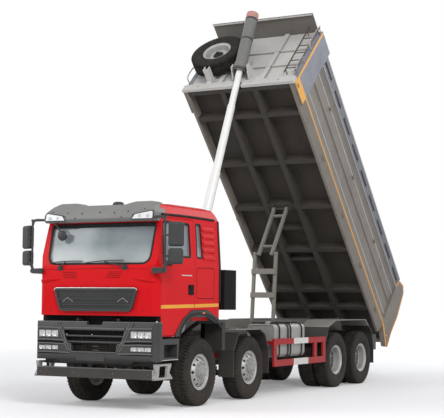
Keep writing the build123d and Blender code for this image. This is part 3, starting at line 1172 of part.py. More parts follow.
def tailgate():
    """A ribbed rear gate between the posts, hung from its top edge."""
    half = INNER_X - RUNNING_GAP
    low = BED_FLOOR - 80
    high = BED_FLOOR + 1400
    body = block((-half, half), (GATE_FRONT, GATE_FRONT + 30), (low, high))
    for x in (-half + 50, -half / 2, 0, half / 2, half - 50):
        body += block((x - 40, x + 40), (GATE_FRONT + 30, GATE_FRONT + TAILGATE_THICKNESS), (low, high))
    for z in (low, high - 90):
        body += block((-half, half), (GATE_FRONT + 30, GATE_FRONT + TAILGATE_THICKNESS), (z, z + 90))
    y, z = GATE_PIVOT
    arm = prism_x([(y - 40, z - 25), (y - 40, z + 35), (y + 20, z + 40), (GATE_FRONT + 40, high),
                   (GATE_FRONT + 40, high - 120)], half - 60, half)
    arm += rod_x(GATE_PIN_RADIUS, half - 10, INNER_X + 45, y, z)
    return RAISED * (body + both_sides(arm))


GATE_PIN_RADIUS = 20.0


# ---------------------------------------------------------------- hoist and stabiliser
def raised_point(y, z):
    """Where a point of the level body, measured from its hinge, lies once the body is raised."""
    angle = radians(TIP_ANGLE)
    return (HINGE_Y + y * cos(angle) + z * sin(angle), HINGE_Z - y * sin(angle) + z * cos(angle))


TRUNNION = raised_point(BED_FRONT - TRUNNION_FROM_WALL, BED_FLOOR + TRUNNION_ABOVE_FLOOR)
HOIST_REACH = hypot(TRUNNION[0] - HOIST_BASE_Y, TRUNNION[1] - HOIST_BASE_Z)
HOIST_LEAN = degrees(atan2(TRUNNION[0] - HOIST_BASE_Y, TRUNNION[1] - HOIST_BASE_Z))
LOWERED = (HINGE_Y + BED_FRONT - TRUNNION_FROM_WALL, HINGE_Z + BED_FLOOR + TRUNNION_ABOVE_FLOOR)
HOIST_CLOSED = hypot(LOWERED[0] - HOIST_BASE_Y, LOWERED[1] - HOIST_BASE_Z)
HOIST_CLOSED_LEAN = degrees(atan2(LOWERED[0] - HOIST_BASE_Y, LOWERED[1] - HOIST_BASE_Z))
HOIST_STROKE = HOIST_REACH - HOIST_CLOSED
HOIST = Pos(0, HOIST_BASE_Y, HOIST_BASE_Z) * Rot(-HOIST_LEAN, 0, 0)


def tube(radius, wall, z_low, z_high):
    """A tube along the hoist's axis."""
    return rod_z(radius, z_low, z_high, 0, 0) - rod_z(radius - wall, z_low - 1, z_high + 1, 0, 0)


def hoist_tubes():
    """The four nested tubes, each pulled out of the one below it by its share of the stroke."""
    pieces = {}
    shift = 0.0
    for index, (name, radius, wall, share) in enumerate(HOIST_TUBES):
        shift += share * HOIST_STROKE
        low = HOIST_BASE_FOOT + HOIST_STEP * (index + 1)
        high = HOIST_BASE_TOP + HOIST_STEP * index
        if name == "hoist_rod":
            high = HOIST_CLOSED + COVER_ABOVE_TRUNNION
        piece = tube(radius, wall, low + shift, high + shift)
        if index + 1 < len(HOIST_TUBES):
            bore = HOIST_TUBES[index + 1][1] + PIN_CLEARANCE
            top = high + shift
            piece += rod_z(radius, top - GLAND_LENGTH, top, 0, 0) - rod_z(bore, top - GLAND_LENGTH - 1,
                                                                          top + 1, 0, 0)
        if name == "hoist_base":
            piece += rod_z(radius, HOIST_BASE_FOOT, low + 1, 0, 0)
            collar = rod_x(60, -HOIST_EAR_X + RUNNING_GAP, HOIST_EAR_X - RUNNING_GAP, 0, 0)
            collar += rod_x(HOIST_PIN_RADIUS, -HOIST_EAR_X - 60, HOIST_EAR_X + 60, 0, 0)
            piece += collar - rod_z(radius - wall / 2, HOIST_BASE_FOOT - 9, HOIST_BASE_TOP, 0, 0)
        pieces[name] = HOIST * piece
    return pieces


def hoist_cover():
    """The cover round the top of the hoist: open at its mouth, capped, with two trunnion bosses."""
    top = HOIST_REACH + COVER_ABOVE_TRUNNION
    low = HOIST_REACH - COVER_BELOW_TRUNNION
    body = tube(COVER_RADIUS, COVER_WALL, low, top)
    body += rod_z(COVER_RADIUS, top, top + 25, 0, 0)
    body += tube(COVER_RADIUS + 14, 20, HOIST_REACH - 60, HOIST_REACH + 60)
    inner = COVER_RADIUS
    for side in MIRROR:
        low_x, high_x = sorted((side * inner, side * (inner + TRUNNION_BOSS)))
        body += rod_x(42, low_x, high_x, 0, HOIST_REACH) - rod_z(COVER_RADIUS - 4, HOIST_REACH - 60,
                                                                 HOIST_REACH + 60, 0, 0)
    return HOIST * body


LINK_BED = raised_point(-LINK_BED_FROM_HINGE, LINK_BED_ABOVE_HINGE)


def elbow():
    """Where the two stabiliser frames meet: both lengths kept, on the cab's side of the chord."""
    y, z = LINK_BED[0] - LINK_PIVOT_Y, LINK_BED[1] - LINK_PIVOT_Z
    chord = hypot(y, z)
    along = (LOWER_LINK_LENGTH ** 2 - UPPER_LINK_LENGTH ** 2 + chord ** 2) / (2 * chord)
    off = (LOWER_LINK_LENGTH ** 2 - along ** 2) ** 0.5
    return (LINK_PIVOT_Y + y / chord * along - z / chord * off,
            LINK_PIVOT_Z + z / chord * along + y / chord * off)


ELBOW = elbow()


def link_arms(start, finish, half):
    """The two arms of a frame, with an eye at each end; the frame is drawn upright from start."""
    length = hypot(finish[0] - start[0], finish[1] - start[1])
    tube_half = LINK_TUBE / 2
    body = Part()
    for side in MIRROR:
        low, high = sorted((side * (half - tube_half), side * (half + tube_half)))
        body += block((low, high), (-tube_half, tube_half), (0, length))
        for z in (0, length):
            body += rod_x(tube_half + 8, low, high, 0, z)
    return body


def stand(body, start, finish):
    """Leans an upright frame from its start point to its finish point."""
    lean = degrees(atan2(finish[0] - start[0], finish[1] - start[1]))
    return Pos(0, start[0], start[1]) * Rot(-lean, 0, 0) * body


def stabiliser_lower():
    """The wide frame on the sub-frame; its cross bars stand proud so that the other folds inside."""
    start = (LINK_PIVOT_Y, LINK_PIVOT_Z)
    body = link_arms(start, ELBOW, LOWER_LINK_HALF)
    outside = LOWER_LINK_HALF + LINK_TUBE / 2
    for share in (0.40, 0.74):
        z = share * LOWER_LINK_LENGTH
        body += block((-outside, outside), (-LINK_BAR_BACK - 26, -LINK_BAR_BACK), (z - 55, z + 55))
        body += both_sides(block((outside - LINK_TUBE, outside), (-LINK_BAR_BACK - 5, 0), (z - 55, z + 55)))
    for x in MIRROR:
        body += rod_x(LINK_PIN_RADIUS, *sorted((x * (UPPER_LINK_HALF + LINK_TUBE / 2 + RUNNING_GAP),
                                                x * outside)), 0, LOWER_LINK_LENGTH)
        body += rod_x(LINK_PIN_RADIUS, *sorted((x * (outside - 5), x * (outside + 40))), 0, 0)
    return stand(body, start, ELBOW)


def stabiliser_upper():
    """The narrow frame that hangs from the body and folds inside the wide one."""
    body = link_arms(ELBOW, LINK_BED, UPPER_LINK_HALF)
    for share in (0.16, 0.84):
        z = share * UPPER_LINK_LENGTH
        body += block((-UPPER_LINK_HALF, UPPER_LINK_HALF), (-22, 22), (z - 25, z + 25))
    body -= rod_x(LINK_PIN_RADIUS + PIN_CLEARANCE, -LOWER_LINK_HALF, LOWER_LINK_HALF, 0, UPPER_LINK_LENGTH)
    return stand(body, ELBOW, LINK_BED)


LINK_BAR_BACK = 45.0


# ---------------------------------------------------------------- writing the pieces
TAIL_Y = max(raised_point(y, z)[0] for y, z in POST_LEVEL)
NOSE_Y = BUMPER_FRONT_Y - 10
ORIGIN_Y = (NOSE_Y + TAIL_Y) / 2


def save(name, piece):
    """Writes one piece, moved so that the origin lies under the middle of the truck's box."""
    export_step(Pos(0, -ORIGIN_Y, 0) * piece, "parts/" + name + ".step")


def main():
    os.makedirs("parts", exist_ok=True)
    walls = cab_walls()
    left_door = door(walls)
    left_glass = door_glass()
    pieces = {
        "chassis_frame": chassis_frame(), "sub_frame": sub_frame(), "engine_block": engine_block(),
        "front_axles": front_axles(), "rear_axles": rear_axles() + drive_shafts(),
        "leaf_springs": leaf_springs(),
        "bumper": bumper(), "cab_steps": cab_steps(), "lamps": lamps(), "underrun_bar": underrun_bar(),
        "tanks": tanks(), "side_guards": side_guards(), "mudguards": mudguards(), "air_intake": air_intake(),
        "cab_shell": cab_shell(walls), "cab_glass": cab_glass(), "grille_panel": grille_panel(),
        "sun_visor": sun_visor(), "seats": seats(), "dashboard": dashboard(), "wheel_arches": wheel_arches(),
        "mirrors": mirrors(), "door_left": left_door, "door_left_glass": left_glass,
        "door_right": mirrored(left_door), "door_right_glass": mirrored(left_glass),
        "bed_floor": bed_floor(), "bed_sides": bed_sides(), "bed_front": bed_front(),
        "spare_tyre": spare("tyre"), "spare_wheel": spare("wheel"), "ladder": ladder(),
        "tailgate": tailgate(),
        "hoist_cover": hoist_cover(), "stabiliser_lower": stabiliser_lower(),
        "stabiliser_upper": stabiliser_upper(),
    }
    pieces.update(hoist_tubes())
    for side, word in ((1, "left"), (-1, "right")):
        for axle in ("front_1", "front_2"):
            y = AXLE_Y[axle]
            pieces["knuckle_" + axle[-1] + "_" + word] = knuckle(y, side)
            pieces["tyre_" + axle + "_" + word] = tyre(side * FRONT_WHEEL_X, y, TYRE_RADIUS)
            pieces["wheel_" + axle + "_" + word] = front_wheel(side * FRONT_WHEEL_X, y, side)
        for axle in ("rear_1", "rear_2"):
            y = AXLE_Y[axle]
            pair = tyre(side * REAR_OUTER_X, y, TYRE_RADIUS)
            pair += tyre(side * (REAR_OUTER_X - TWIN_SPACING), y, TYRE_RADIUS)
            pieces["tyres_" + axle + "_" + word] = pair
            pieces["wheels_" + axle + "_" + word] = rear_wheels(y, side)
    for name, piece in pieces.items():
        save(name, piece)
    print("pieces", len(pieces))
    print("origin station", round(ORIGIN_Y, 3))
    print("hoist reach", HOIST_REACH, "closed", HOIST_CLOSED)
    print("hoist lean", HOIST_LEAN, "closed", HOIST_CLOSED_LEAN)
    print("stabiliser at the body", LINK_BED, "elbow", ELBOW)


main()
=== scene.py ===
import json
import math

import bmesh
import bpy
import numpy as np
from mathutils import Matrix, Vector


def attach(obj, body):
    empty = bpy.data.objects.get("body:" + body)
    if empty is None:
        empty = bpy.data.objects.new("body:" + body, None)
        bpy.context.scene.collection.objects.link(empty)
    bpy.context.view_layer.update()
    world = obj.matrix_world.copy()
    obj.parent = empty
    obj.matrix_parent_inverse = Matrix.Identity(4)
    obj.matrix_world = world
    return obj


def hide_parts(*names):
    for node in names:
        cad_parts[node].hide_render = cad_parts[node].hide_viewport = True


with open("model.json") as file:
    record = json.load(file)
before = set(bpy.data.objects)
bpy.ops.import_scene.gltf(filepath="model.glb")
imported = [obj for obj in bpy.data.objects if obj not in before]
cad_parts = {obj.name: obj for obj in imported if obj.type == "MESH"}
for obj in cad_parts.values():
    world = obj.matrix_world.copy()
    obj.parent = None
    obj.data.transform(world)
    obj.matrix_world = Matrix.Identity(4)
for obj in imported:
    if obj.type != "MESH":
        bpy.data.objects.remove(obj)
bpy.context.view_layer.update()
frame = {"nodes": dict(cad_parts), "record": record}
NODES = frame["nodes"]

# A dump truck with four axles, standing on its wheels with its body raised. Lengths are metres:
# x to the truck's left, y to its rear, z up. Stations along y are measured from the first axle.
FIRST_AXLE_Y = -4.055443
HINGE_STATION, HINGE_Z = 7.717, 1.27
TIP = math.radians(46.75)
BED_FLOOR, BED_FRONT, BED_REAR, BED_SIDE = 0.35, -6.333, 0.357, 1.25
AXLES = {"front_1": 0.0, "front_2": 1.8, "rear_1": 5.6, "rear_2": 6.95}
TYRE_RADIUS = 0.5625
SIDES = (("left", 1), ("right", -1))
AHEAD, OUTWARD = (0, -1, 0), (1, 0, 0)


# ---------------------------------------------------------------- places
def on_truck(points):
    """Stations from the first axle become the row frame's y."""
    return points + np.array([0.0, FIRST_AXLE_Y, 0.0])


def on_body(points):
    """Points of the level dump body, y and z from its hinge, turned up to the raised place."""
    x, y, z = np.asarray(points, float).T
    return np.stack([x, FIRST_AXLE_Y + HINGE_STATION + y * math.cos(TIP) + z * math.sin(TIP),
                     HINGE_Z - y * math.sin(TIP) + z * math.cos(TIP)], 1)


def on_bed(points):
    """Points of the level dump body, y from its hinge and z from its floor."""
    return on_body(points + np.array([0.0, 0.0, BED_FLOOR]))


def mirrored(part):
    """The mirror image of a part in x, with its faces turned back outward."""
    points, faces = part
    return points * np.array([-1.0, 1.0, 1.0]), [face[:, ::-1] for face in faces]


def on_side(part, side):
    """A part of the left side as it is, or its mirror image where side is -1."""
    return part if side > 0 else mirrored(part)


def both(part):
    """A part and its mirror image."""
    return join([part, mirrored(part)])


def join(parts):
    """Several (points, faces) parts as one; each faces entry is an array with one row per face."""
    points, faces, start = [], [], 0
    for some_points, some_faces in parts:
        points.append(some_points)
        faces += [face + start for face in some_faces]
        start += len(some_points)
    return np.concatenate(points), faces


def stamp(part, places):
    """The part repeated at each place."""
    points, faces = part
    places = np.asarray(places, float)
    moved = points[None] + places[:, None]
    steps = (np.arange(len(places)) * len(points))[:, None, None]
    return moved.reshape(-1, 3), [(face[None] + steps).reshape(-1, face.shape[1]) for face in faces]


# ---------------------------------------------------------------- surfaces
def grid_faces(rows, columns, wrap_rows=False, wrap_columns=False):
    """Four-sided faces between neighbours on a grid of points, closed round where asked."""
    i = np.arange(rows if wrap_rows else rows - 1)[:, None]
    j = np.arange(columns if wrap_columns else columns - 1)[None]
    a, b = i * columns + j, i * columns + (j + 1) % columns
    c, d = ((i + 1) % rows) * columns + (j + 1) % columns, ((i + 1) % rows) * columns + j
    return np.stack([a, b, c, d], -1).reshape(-1, 4)


def tube_faces(rows, columns):
    """Faces of a tube whose rows are closed outlines of so many points, capped at both ends."""
    cap = np.arange(columns)[None]
    return [grid_faces(rows, columns, False, True), cap[:, ::-1], cap + (rows - 1) * columns]


def laid(along, across, upward, axis):
    """Coordinates along an axis and in the two directions across it, as rows of x, y, z."""
    order = {0: (along, across, upward), 1: (across, along, upward), 2: (across, upward, along)}[axis]
    return np.stack(order, -1).reshape(-1, 3)


def turned(outline, centre, axis=0, sense=1.0, count=48, closed=False):
    """A (radius, reach) outline turned about an axis through centre: each point goes round a circle
    of its radius, at its reach along the axis. A closed outline gives a ring."""
    radius, reach = np.asarray(outline, float).T
    angle = np.linspace(0.0, 2 * math.pi, count, endpoint=False)[:, None]
    along = np.broadcast_to(sense * reach[None], (count, len(reach)))
    points = laid(along, radius * np.cos(angle), radius * np.sin(angle), axis) + np.asarray(centre, float)
    return points, [grid_faces(count, len(radius), True, closed)]


def carried(outline, path, up=(0.0, 0.0, 1.0), ring=False):
    """A flat closed outline (a, b) carried along a path: at each station a is laid along the side
    direction, square to the path and to up, and b along the other square direction. Ends are capped."""
    outline, path = np.asarray(outline, float), np.asarray(path, float)
    ahead = np.roll(path, -1, 0) - np.roll(path, 1, 0) if ring else np.gradient(path, axis=0)
    ahead /= np.linalg.norm(ahead, axis=1, keepdims=True)
    side = np.cross(ahead, np.broadcast_to(np.asarray(up, float), ahead.shape))
    side /= np.linalg.norm(side, axis=1, keepdims=True)
    rise = np.cross(side, ahead)
    points = path[:, None] + outline[None, :, :1] * side[:, None] + outline[None, :, 1:] * rise[:, None]
    rows, columns = len(path), len(outline)
    faces = [grid_faces(rows, columns, True, True)] if ring else tube_faces(rows, columns)
    return points.reshape(-1, 3), faces


def bead(width, height):
    """A low rounded section: half as high at its edges as in its middle."""
    a = width / 2
    return np.array([(-a, -0.004), (-a, height * 0.5), (-a * 0.5, height * 0.93), (0, height),
                     (a * 0.5, height * 0.93), (a, height * 0.5), (a, -0.004)])


def ridge(path, width, height, up=AHEAD, ring=False):
    """A bead carried along a path, standing up out of a surface that faces up."""
    return carried(bead(width, height), path, up, ring)


def slab(outline, plane, low, high):
    """A flat closed outline given thickness: its points in the two directions of plane, carried
    from low to high along the third."""
    outline = np.asarray(outline, float)
    axes = {"x": (1, 2, 0), "y": (0, 2, 1), "z": (0, 1, 2)}[plane]
    ends = np.zeros((2, len(outline), 3))
    ends[:, :, axes[0]], ends[:, :, axes[1]] = outline[:, 0], outline[:, 1]
    ends[0, :, axes[2]], ends[1, :, axes[2]] = low, high
    return ends.reshape(-1, 3), tube_faces(2, len(outline))


def box(x, y, z):
    """A block between low and high along each axis."""
    return slab([(x[0], y[0]), (x[1], y[0]), (x[1], y[1]), (x[0], y[1])], "z", *z)


def rectangle(first, second):
    """The four corners between low and high along each of two axes."""
    return [(first[0], second[0]), (first[0], second[1]), (first[1], second[1]), (first[1], second[0])]


def rounded(corners, radius, steps=5):
    """An outline whose corners are arcs of the given radius, as points; corners go round once."""
    corners = np.asarray(corners, float)
    before = np.roll(corners, 1, 0) - corners
    after = np.roll(corners, -1, 0) - corners
    before /= np.linalg.norm(before, axis=1, keepdims=True)
    after /= np.linalg.norm(after, axis=1, keepdims=True)
    half = np.arccos(np.clip((before * after).sum(1), -1, 1)) / 2
    reach = (np.broadcast_to(np.asarray(radius, float), half.shape) / np.tan(half))[:, None]
    enter, leave = (corners + before * reach)[:, None], (corners + after * reach)[:, None]
    share = np.linspace(0, 1, steps)[None, :, None]
    bow = (1 - share) ** 2 * enter + 2 * share * (1 - share) * corners[:, None] + share ** 2 * leave
    return bow.reshape(-1, 2)


def at_y(outline, y):
    """An outline (x, z) as points at one station or at a station for each."""
    return np.stack([outline[:, 0], np.broadcast_to(y, len(outline)), outline[:, 1]], 1)


def smooth_path(corners, steps=8):
    """A bent path through the corners: a Catmull-Rom curve, each span worked out at steps places."""
    corners = np.asarray(corners, float)
    ends = np.concatenate([[2 * corners[0] - corners[1]], corners, [2 * corners[-1] - corners[-2]]])
    t = np.linspace(0, 1, steps, endpoint=False)[None, :, None]
    p0, p1, p2, p3 = (ends[i:len(ends) - 3 + i][:, None] for i in range(4))
    spans = 0.5 * (2 * p1 + (p2 - p0) * t + (2 * p0 - 5 * p1 + 4 * p2 - p3) * t ** 2
                   + (3 * p1 - p0 - 3 * p2 + p3) * t ** 3)
    return np.concatenate([spans.reshape(-1, corners.shape[1]), corners[-1:]])


def pipe(corners, radius, count=10, steps=6):
    """A round tube along a bent path."""
    angle = np.linspace(0, 2 * math.pi, count, endpoint=False)
    circle = np.stack([radius * np.cos(angle), radius * np.sin(angle)], 1)
    return carried(circle, smooth_path(corners, steps), (0.13, 0.21, 0.97))


def piece(name, parts, body, finish, place=on_truck, bevel=0.0, sharp=35.0, swaps=()):
    """Makes one object from (points, faces) parts: doubles merged, faces outward, edges rounded."""
    points, faces = join(parts)
    points = place(points)
    mesh = bpy.data.meshes.new(name)
    mesh.vertices.add(len(points))
    mesh.vertices.foreach_set("co", points.astype(np.float32).ravel())
    sizes = np.concatenate([np.full(len(face), face.shape[1]) for face in faces])
    mesh.loops.add(int(sizes.sum()))
    mesh.loops.foreach_set("vertex_index", np.concatenate([face.ravel() for face in faces]).astype(np.int32))
    mesh.polygons.add(len(sizes))
    mesh.polygons.foreach_set("loop_start", np.concatenate([[0], np.cumsum(sizes)[:-1]]).astype(np.int32))
    mesh.update(calc_edges=True)
    shell = bmesh.new()
    shell.from_mesh(mesh)
    bmesh.ops.remove_doubles(shell, verts=shell.verts, dist=1e-5)
    bmesh.ops.dissolve_degenerate(shell, edges=shell.edges, dist=1e-6)
    bmesh.ops.recalc_face_normals(shell, faces=shell.faces)
    shell.to_mesh(mesh)
    shell.free()
    mesh.polygons.foreach_set("use_smooth", np.ones(len(mesh.polygons), bool))
    mesh.set_sharp_from_angle(angle=math.radians(sharp))
    made = bpy.data.objects.new(name, mesh)
    bpy.context.collection.objects.link(made)
    if bevel:
        edge = made.modifiers.new("edges", "BEVEL")
        edge.width, edge.segments, edge.limit_method = bevel, 2, "ANGLE"
        edge.angle_limit = math.radians(32)
        edge.harden_normals = True
    mesh.materials.append(finish)
    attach(made, body)
    if swaps:
        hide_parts(*swaps)
    return made


# ---------------------------------------------------------------- nodes and finishes
class Nodes:
    """A node tree under way, with short ways to add and join its nodes."""

    def __init__(self, tree):
        self.tree = tree

    def add(self, kind, inputs=(), **settings):
        node = self.tree.nodes.new("ShaderNode" + kind)
        for key, value in settings.items():
            setattr(node, key, value)
        for key, value in inputs:
            node.inputs[key].default_value = value
        return node

    def join(self, out, into):
        self.tree.links.new(out, into)


class Finish(Nodes):
    """One material under way, made from the place in metres."""

    def __init__(self, name):
        self.material = bpy.data.materials.new(name)
        self.material.use_nodes = True
        super().__init__(self.material.node_tree)
        self.shader = self.tree.nodes["Principled BSDF"]
        self.place = self.add("TexCoord").outputs["Object"]

    def dress(self, **inputs):
        """Sets or joins inputs of the shader; a _ in a name stands for a space."""
        for name, value in inputs.items():
            socket = self.shader.inputs[name.replace("_", " ")]
            if isinstance(value, bpy.types.NodeSocket):
                self.join(value, socket)
            else:
                socket.default_value = value

    def grain(self, size, detail=5.0, roughness=0.6, offset=(0, 0, 0)):
        """Noise whose patches are about size metres across, as a 0 to 1 value."""
        mapping = self.add("Mapping", [("Location", offset)])
        noise = self.add("TexNoise", [("Scale", 1.0 / size), ("Detail", detail), ("Roughness", roughness)])
        self.join(self.place, mapping.inputs["Vector"])
        self.join(mapping.outputs[0], noise.inputs["Vector"])
        return noise.outputs["Fac"]

    def span(self, value, low, high, to_low=0.0, to_high=1.0):
        """The value's low to high spread over to_low to to_high, and clamped there."""
        ramp = self.add("MapRange", zip(("From Min", "From Max", "To Min", "To Max"),
                                        (low, high, to_low, to_high)))
        self.join(value, ramp.inputs["Value"])
        return ramp.outputs[0]

    def times(self, first, second):
        """The product, kept between 0 and 1."""
        node = self.add("Math", operation="MULTIPLY", use_clamp=True)
        self.join(first, node.inputs[0])
        if isinstance(second, float):
            node.inputs[1].default_value = second
        else:
            self.join(second, node.inputs[1])
        return node.outputs[0]

    def blend(self, share, first, second):
        """Colour that goes from first to second as share goes from 0 to 1."""
        node = self.add("Mix", data_type="RGBA")
        self.join(share, node.inputs["Factor"])
        for colour, socket in ((first, node.inputs[6]), (second, node.inputs[7])):
            if isinstance(colour, tuple):
                socket.default_value = colour + (1.0,)
            else:
                self.join(colour, socket)
        return node.outputs[2]

    def level(self, axis):
        """A coordinate to set zones by: x, y from the first axle, z, or the level dump body's own from
        its hinge."""
        if axis in ("x", "z"):
            parts = self.add("SeparateXYZ")
            self.join(self.place, parts.inputs[0])
            return parts.outputs["xyz".index(axis)]
        direction = {"y": (0.0, 1.0, 0.0), "body_y": (0.0, math.cos(TIP), -math.sin(TIP)),
                     "body_z": (0.0, math.sin(TIP), math.cos(TIP))}[axis]
        hinge = (0.0, FIRST_AXLE_Y + HINGE_STATION, HINGE_Z)
        shift = FIRST_AXLE_Y if axis == "y" else sum(a * b for a, b in zip(hinge, direction))
        dot = self.add("VectorMath", operation="DOT_PRODUCT")
        self.join(self.place, dot.inputs[0])
        dot.inputs[1].default_value = direction
        less = self.add("Math", [(1, shift)], operation="SUBTRACT")
        self.join(dot.outputs["Value"], less.inputs[0])
        return less.outputs[0]

    def zone(self, limits):
        """1 inside every one of the (axis, low, high) limits, and 0 outside."""
        inside, soft = None, 0.001
        for axis, low, high in limits:
            value = self.level(axis)
            below = self.span(value, high + soft, high - soft)
            between = self.times(self.span(value, low - soft, low + soft), below)
            inside = between if inside is None else self.times(inside, between)
        return inside

    def relief(self, height, strength):
        """Unevenness of up to 2 mm, too fine for the mesh."""
        bump = self.add("Bump", [("Strength", strength), ("Distance", 0.002)])
        self.join(height, bump.inputs["Height"])
        self.join(bump.outputs[0], self.shader.inputs["Normal"])


DUST = (0.36, 0.3, 0.24)


def coated(name, colour, stain, stained=0.35, patch=0.35, rough=(0.35, 0.6), grain=0.012, relief=0.15,
           metal=0.0, dust=None, gloss=0.0, specular=0.5, zones=()):
    """Paint, plastic or metal: patches of stain, fine grain, zones of other colours, and dust given as
    the height where it ends and its share at the ground."""
    made = Finish(name)
    patches = made.grain(patch, 8.0, 0.65)
    spots = made.grain(patch / 9, 6.0, 0.7, (3.1, 7.7, 1.3))
    share = made.times(made.span(patches, 0.42, 0.72), made.span(spots, 0.3, 0.7, 0.25, 1.0))
    share = made.times(share, stained)
    shade = made.blend(share, colour, stain)
    for limits, tint in zones:
        worn = made.blend(share, tint, tuple(0.6 * part for part in tint))
        shade = made.blend(made.zone(limits), shade, worn)
    fine = made.grain(grain, 4.0)
    if dust:
        top, most = dust
        height = made.span(made.level("z"), top, 0.0)
        cloud = made.times(made.span(made.grain(0.22, 7.0, 0.7, (9.0, 2.0, 5.0)), 0.3, 0.7, 0.35, 1.0), most)
        shade = made.blend(made.times(height, cloud), shade, DUST)
    made.dress(Base_Color=shade, Roughness=made.span(spots, 0.3, 0.7, *rough), Metallic=metal,
               Specular_IOR_Level=specular)
    made.relief(fine, relief)
    if gloss:
        made.dress(Coat_Weight=gloss, Coat_Roughness=0.12)
    return made.material


def glazing(name, tint, alpha, foot=None, reach=(0.0, 1.0)):
    """Tinted glass with a thin film of dust, turning to the foot colour as z runs over reach."""
    made = Finish(name)
    film = made.span(made.grain(0.4), 0.35, 0.75, 0.0, 0.3)
    shade = made.blend(film, tint, (0.45, 0.47, 0.48))
    if foot:
        clouds = made.span(made.grain(0.7, 3.0, 0.5, (2.0, 4.0, 6.0)), 0.35, 0.65, 0.4, 1.0)
        shade = made.blend(made.times(made.span(made.level("z"), *reach), clouds), shade, foot)
    made.dress(Base_Color=shade, Roughness=made.span(made.grain(0.05), 0.3, 0.7, 0.03, 0.12), Alpha=alpha)
    made.relief(made.grain(0.5, 1.0, 0.3), 0.02)
    return made.material


# Each finish: name, colour, stain, share stained, size of patches, roughness, grain, relief and more.
# The zone paints the cab's recessed lower front, below the nose, nearly black: painted shade in the recess.
red_paint = coated("red_cab_paint", (0.62, 0.006, 0.01), (0.5, 0.005, 0.008), 0.3, 0.35, (0.32, 0.44), 0.3,
                   0.02,
                   dust=(1.7, 0.08), gloss=0.05, specular=0.08,
                   zones=[([("z", 1.1, 1.493), ("y", -1.5, -1.2505)], (0.03, 0.01, 0.01))])
frame_paint = coated("dark_frame_paint", (0.034, 0.031, 0.028), (0.075, 0.058, 0.044), 0.7, 0.2, (0.5, 0.8),
                     dust=(1.5, 0.3), specular=0.25)
subframe_paint = coated("grey_subframe_paint", (0.15, 0.14, 0.125), (0.09, 0.078, 0.065), 0.7, 0.2,
                        (0.5, 0.8),
                        specular=0.3)
sooty_steel = coated("sooty_steel", (0.022, 0.021, 0.02), (0.06, 0.047, 0.036), 0.7, 0.15, (0.5, 0.8),
                     dust=(1.2, 0.25), specular=0.2)
# The zone is a lighter band on the bumper's upper face: a painted highlight.
matt_plastic = coated("matt_dark_plastic", (0.04, 0.041, 0.041), (0.065, 0.062, 0.058), 0.5, 0.3, (0.4, 0.55),
                      0.004, 0.25, dust=(1.3, 0.12), specular=0.28,
                      zones=[([("z", 1.384, 1.42), ("y", -1.45, -1.2)], (0.13, 0.128, 0.122))])
# Pale plastic for the bumper's ridges, slant lines, bar edges and the underrun's lip: painted highlights
# along their edges.
highlight_edge_plastic = coated("painted_highlight_plastic_edge", (0.115, 0.113, 0.108), (0.08, 0.078, 0.074), 0.5, 0.2, (0.4, 0.55),
                      0.004, 0.2, specular=0.3)
bar_paint = coated("dark_bar_paint", (0.03, 0.028, 0.027), (0.065, 0.058, 0.05), 0.5, 0.3, (0.4, 0.55),
                   0.004, 0.25, dust=(1.1, 0.12), specular=0.3,
                   zones=[([("x", *ends)], (0.36, 0.36, 0.35)) for ends in ((1.109, 1.3), (-1.3, -1.109))])
visor_plastic = coated("grey_visor_plastic", (0.215, 0.212, 0.205), (0.15, 0.147, 0.14), 0.5, 0.4,
                       (0.42, 0.6),
                       0.004, 0.2, specular=0.3)
trim_plastic = coated("dark_trim_plastic", (0.02, 0.02, 0.02), (0.045, 0.043, 0.04), 0.5, 0.3, (0.42, 0.62),
                      0.004, 0.25, dust=(1.5, 0.1), specular=0.14)
mudguard_paint = coated("mudguard_paint", (0.03, 0.029, 0.028), (0.06, 0.055, 0.05), 0.5, 0.3, (0.42, 0.62),
                        0.004, 0.25, dust=(1.5, 0.15), specular=0.2,
                        zones=[([("z", 1.235, 1.6), ("y", 1.1, 8.0)], (0.25, 0.235, 0.215))])
black_plastic = coated("black_plastic", (0.01, 0.01, 0.01), (0.02, 0.02, 0.019), 0.5, 0.3, (0.5, 0.7),
                       0.004, 0.25, specular=0.06)
lamp_lens = coated("lamp_lens", (0.6, 0.62, 0.63), (0.25, 0.27, 0.29), 0.8, 0.05, (0.08, 0.2), 0.02, 0.3,
                   zones=[([("y", 7.0, 8.2)], (0.022, 0.021, 0.02))])
tank_metal = coated("dull_tank_metal", (0.36, 0.35, 0.34), (0.24, 0.22, 0.2), 0.6, 0.3, (0.4, 0.6), metal=0.4,
                    dust=(1.0, 0.4))
guard_paint = coated("guard_paint", (0.36, 0.01, 0.012), (0.24, 0.014, 0.014), 0.5, 0.2, (0.35, 0.6),
                     dust=(1.1, 0.15), specular=0.25, zones=[([("y", 3.5, 4.17)], (0.72, 0.7, 0.67))])
clear_glass = glazing("tinted_glass", (0.26, 0.3, 0.32), 0.7)
screen_glass = glazing("windscreen_glass", (0.21, 0.25, 0.26), 0.78, (0.6, 0.65, 0.64), (2.66, 2.32))
seat_cloth = coated("seat_cloth", (0.06, 0.06, 0.07), (0.1, 0.1, 0.11), 0.5, 0.1, (0.8, 0.95), 0.003, 0.6)
body_paint = coated("warm_grey_body_paint", (0.225, 0.2, 0.175), (0.135, 0.115, 0.098), 0.7, 0.5, (0.45, 0.7),
                    0.02, 0.2, specular=0.35,
                    zones=[([("body_z", 1.52, 2.1), ("body_y", -5.803, 0.3)], (0.165, 0.17, 0.185)),
                           ([("body_y", -6.5, -5.803), ("body_z", 0.4, 2.2)], (0.235, 0.245, 0.285))])
# The dump body's underside, painted dark as painted shade under the raised body.
shaded_underside_paint = coated("painted_shade_underside_paint", (0.062, 0.055, 0.046), (0.036, 0.031, 0.026), 0.7, 0.5,
                         (0.5, 0.75), 0.02, 0.2, specular=0.25,
                         zones=[([("body_z", -1.0, 0.2)], (0.06, 0.054, 0.046))])
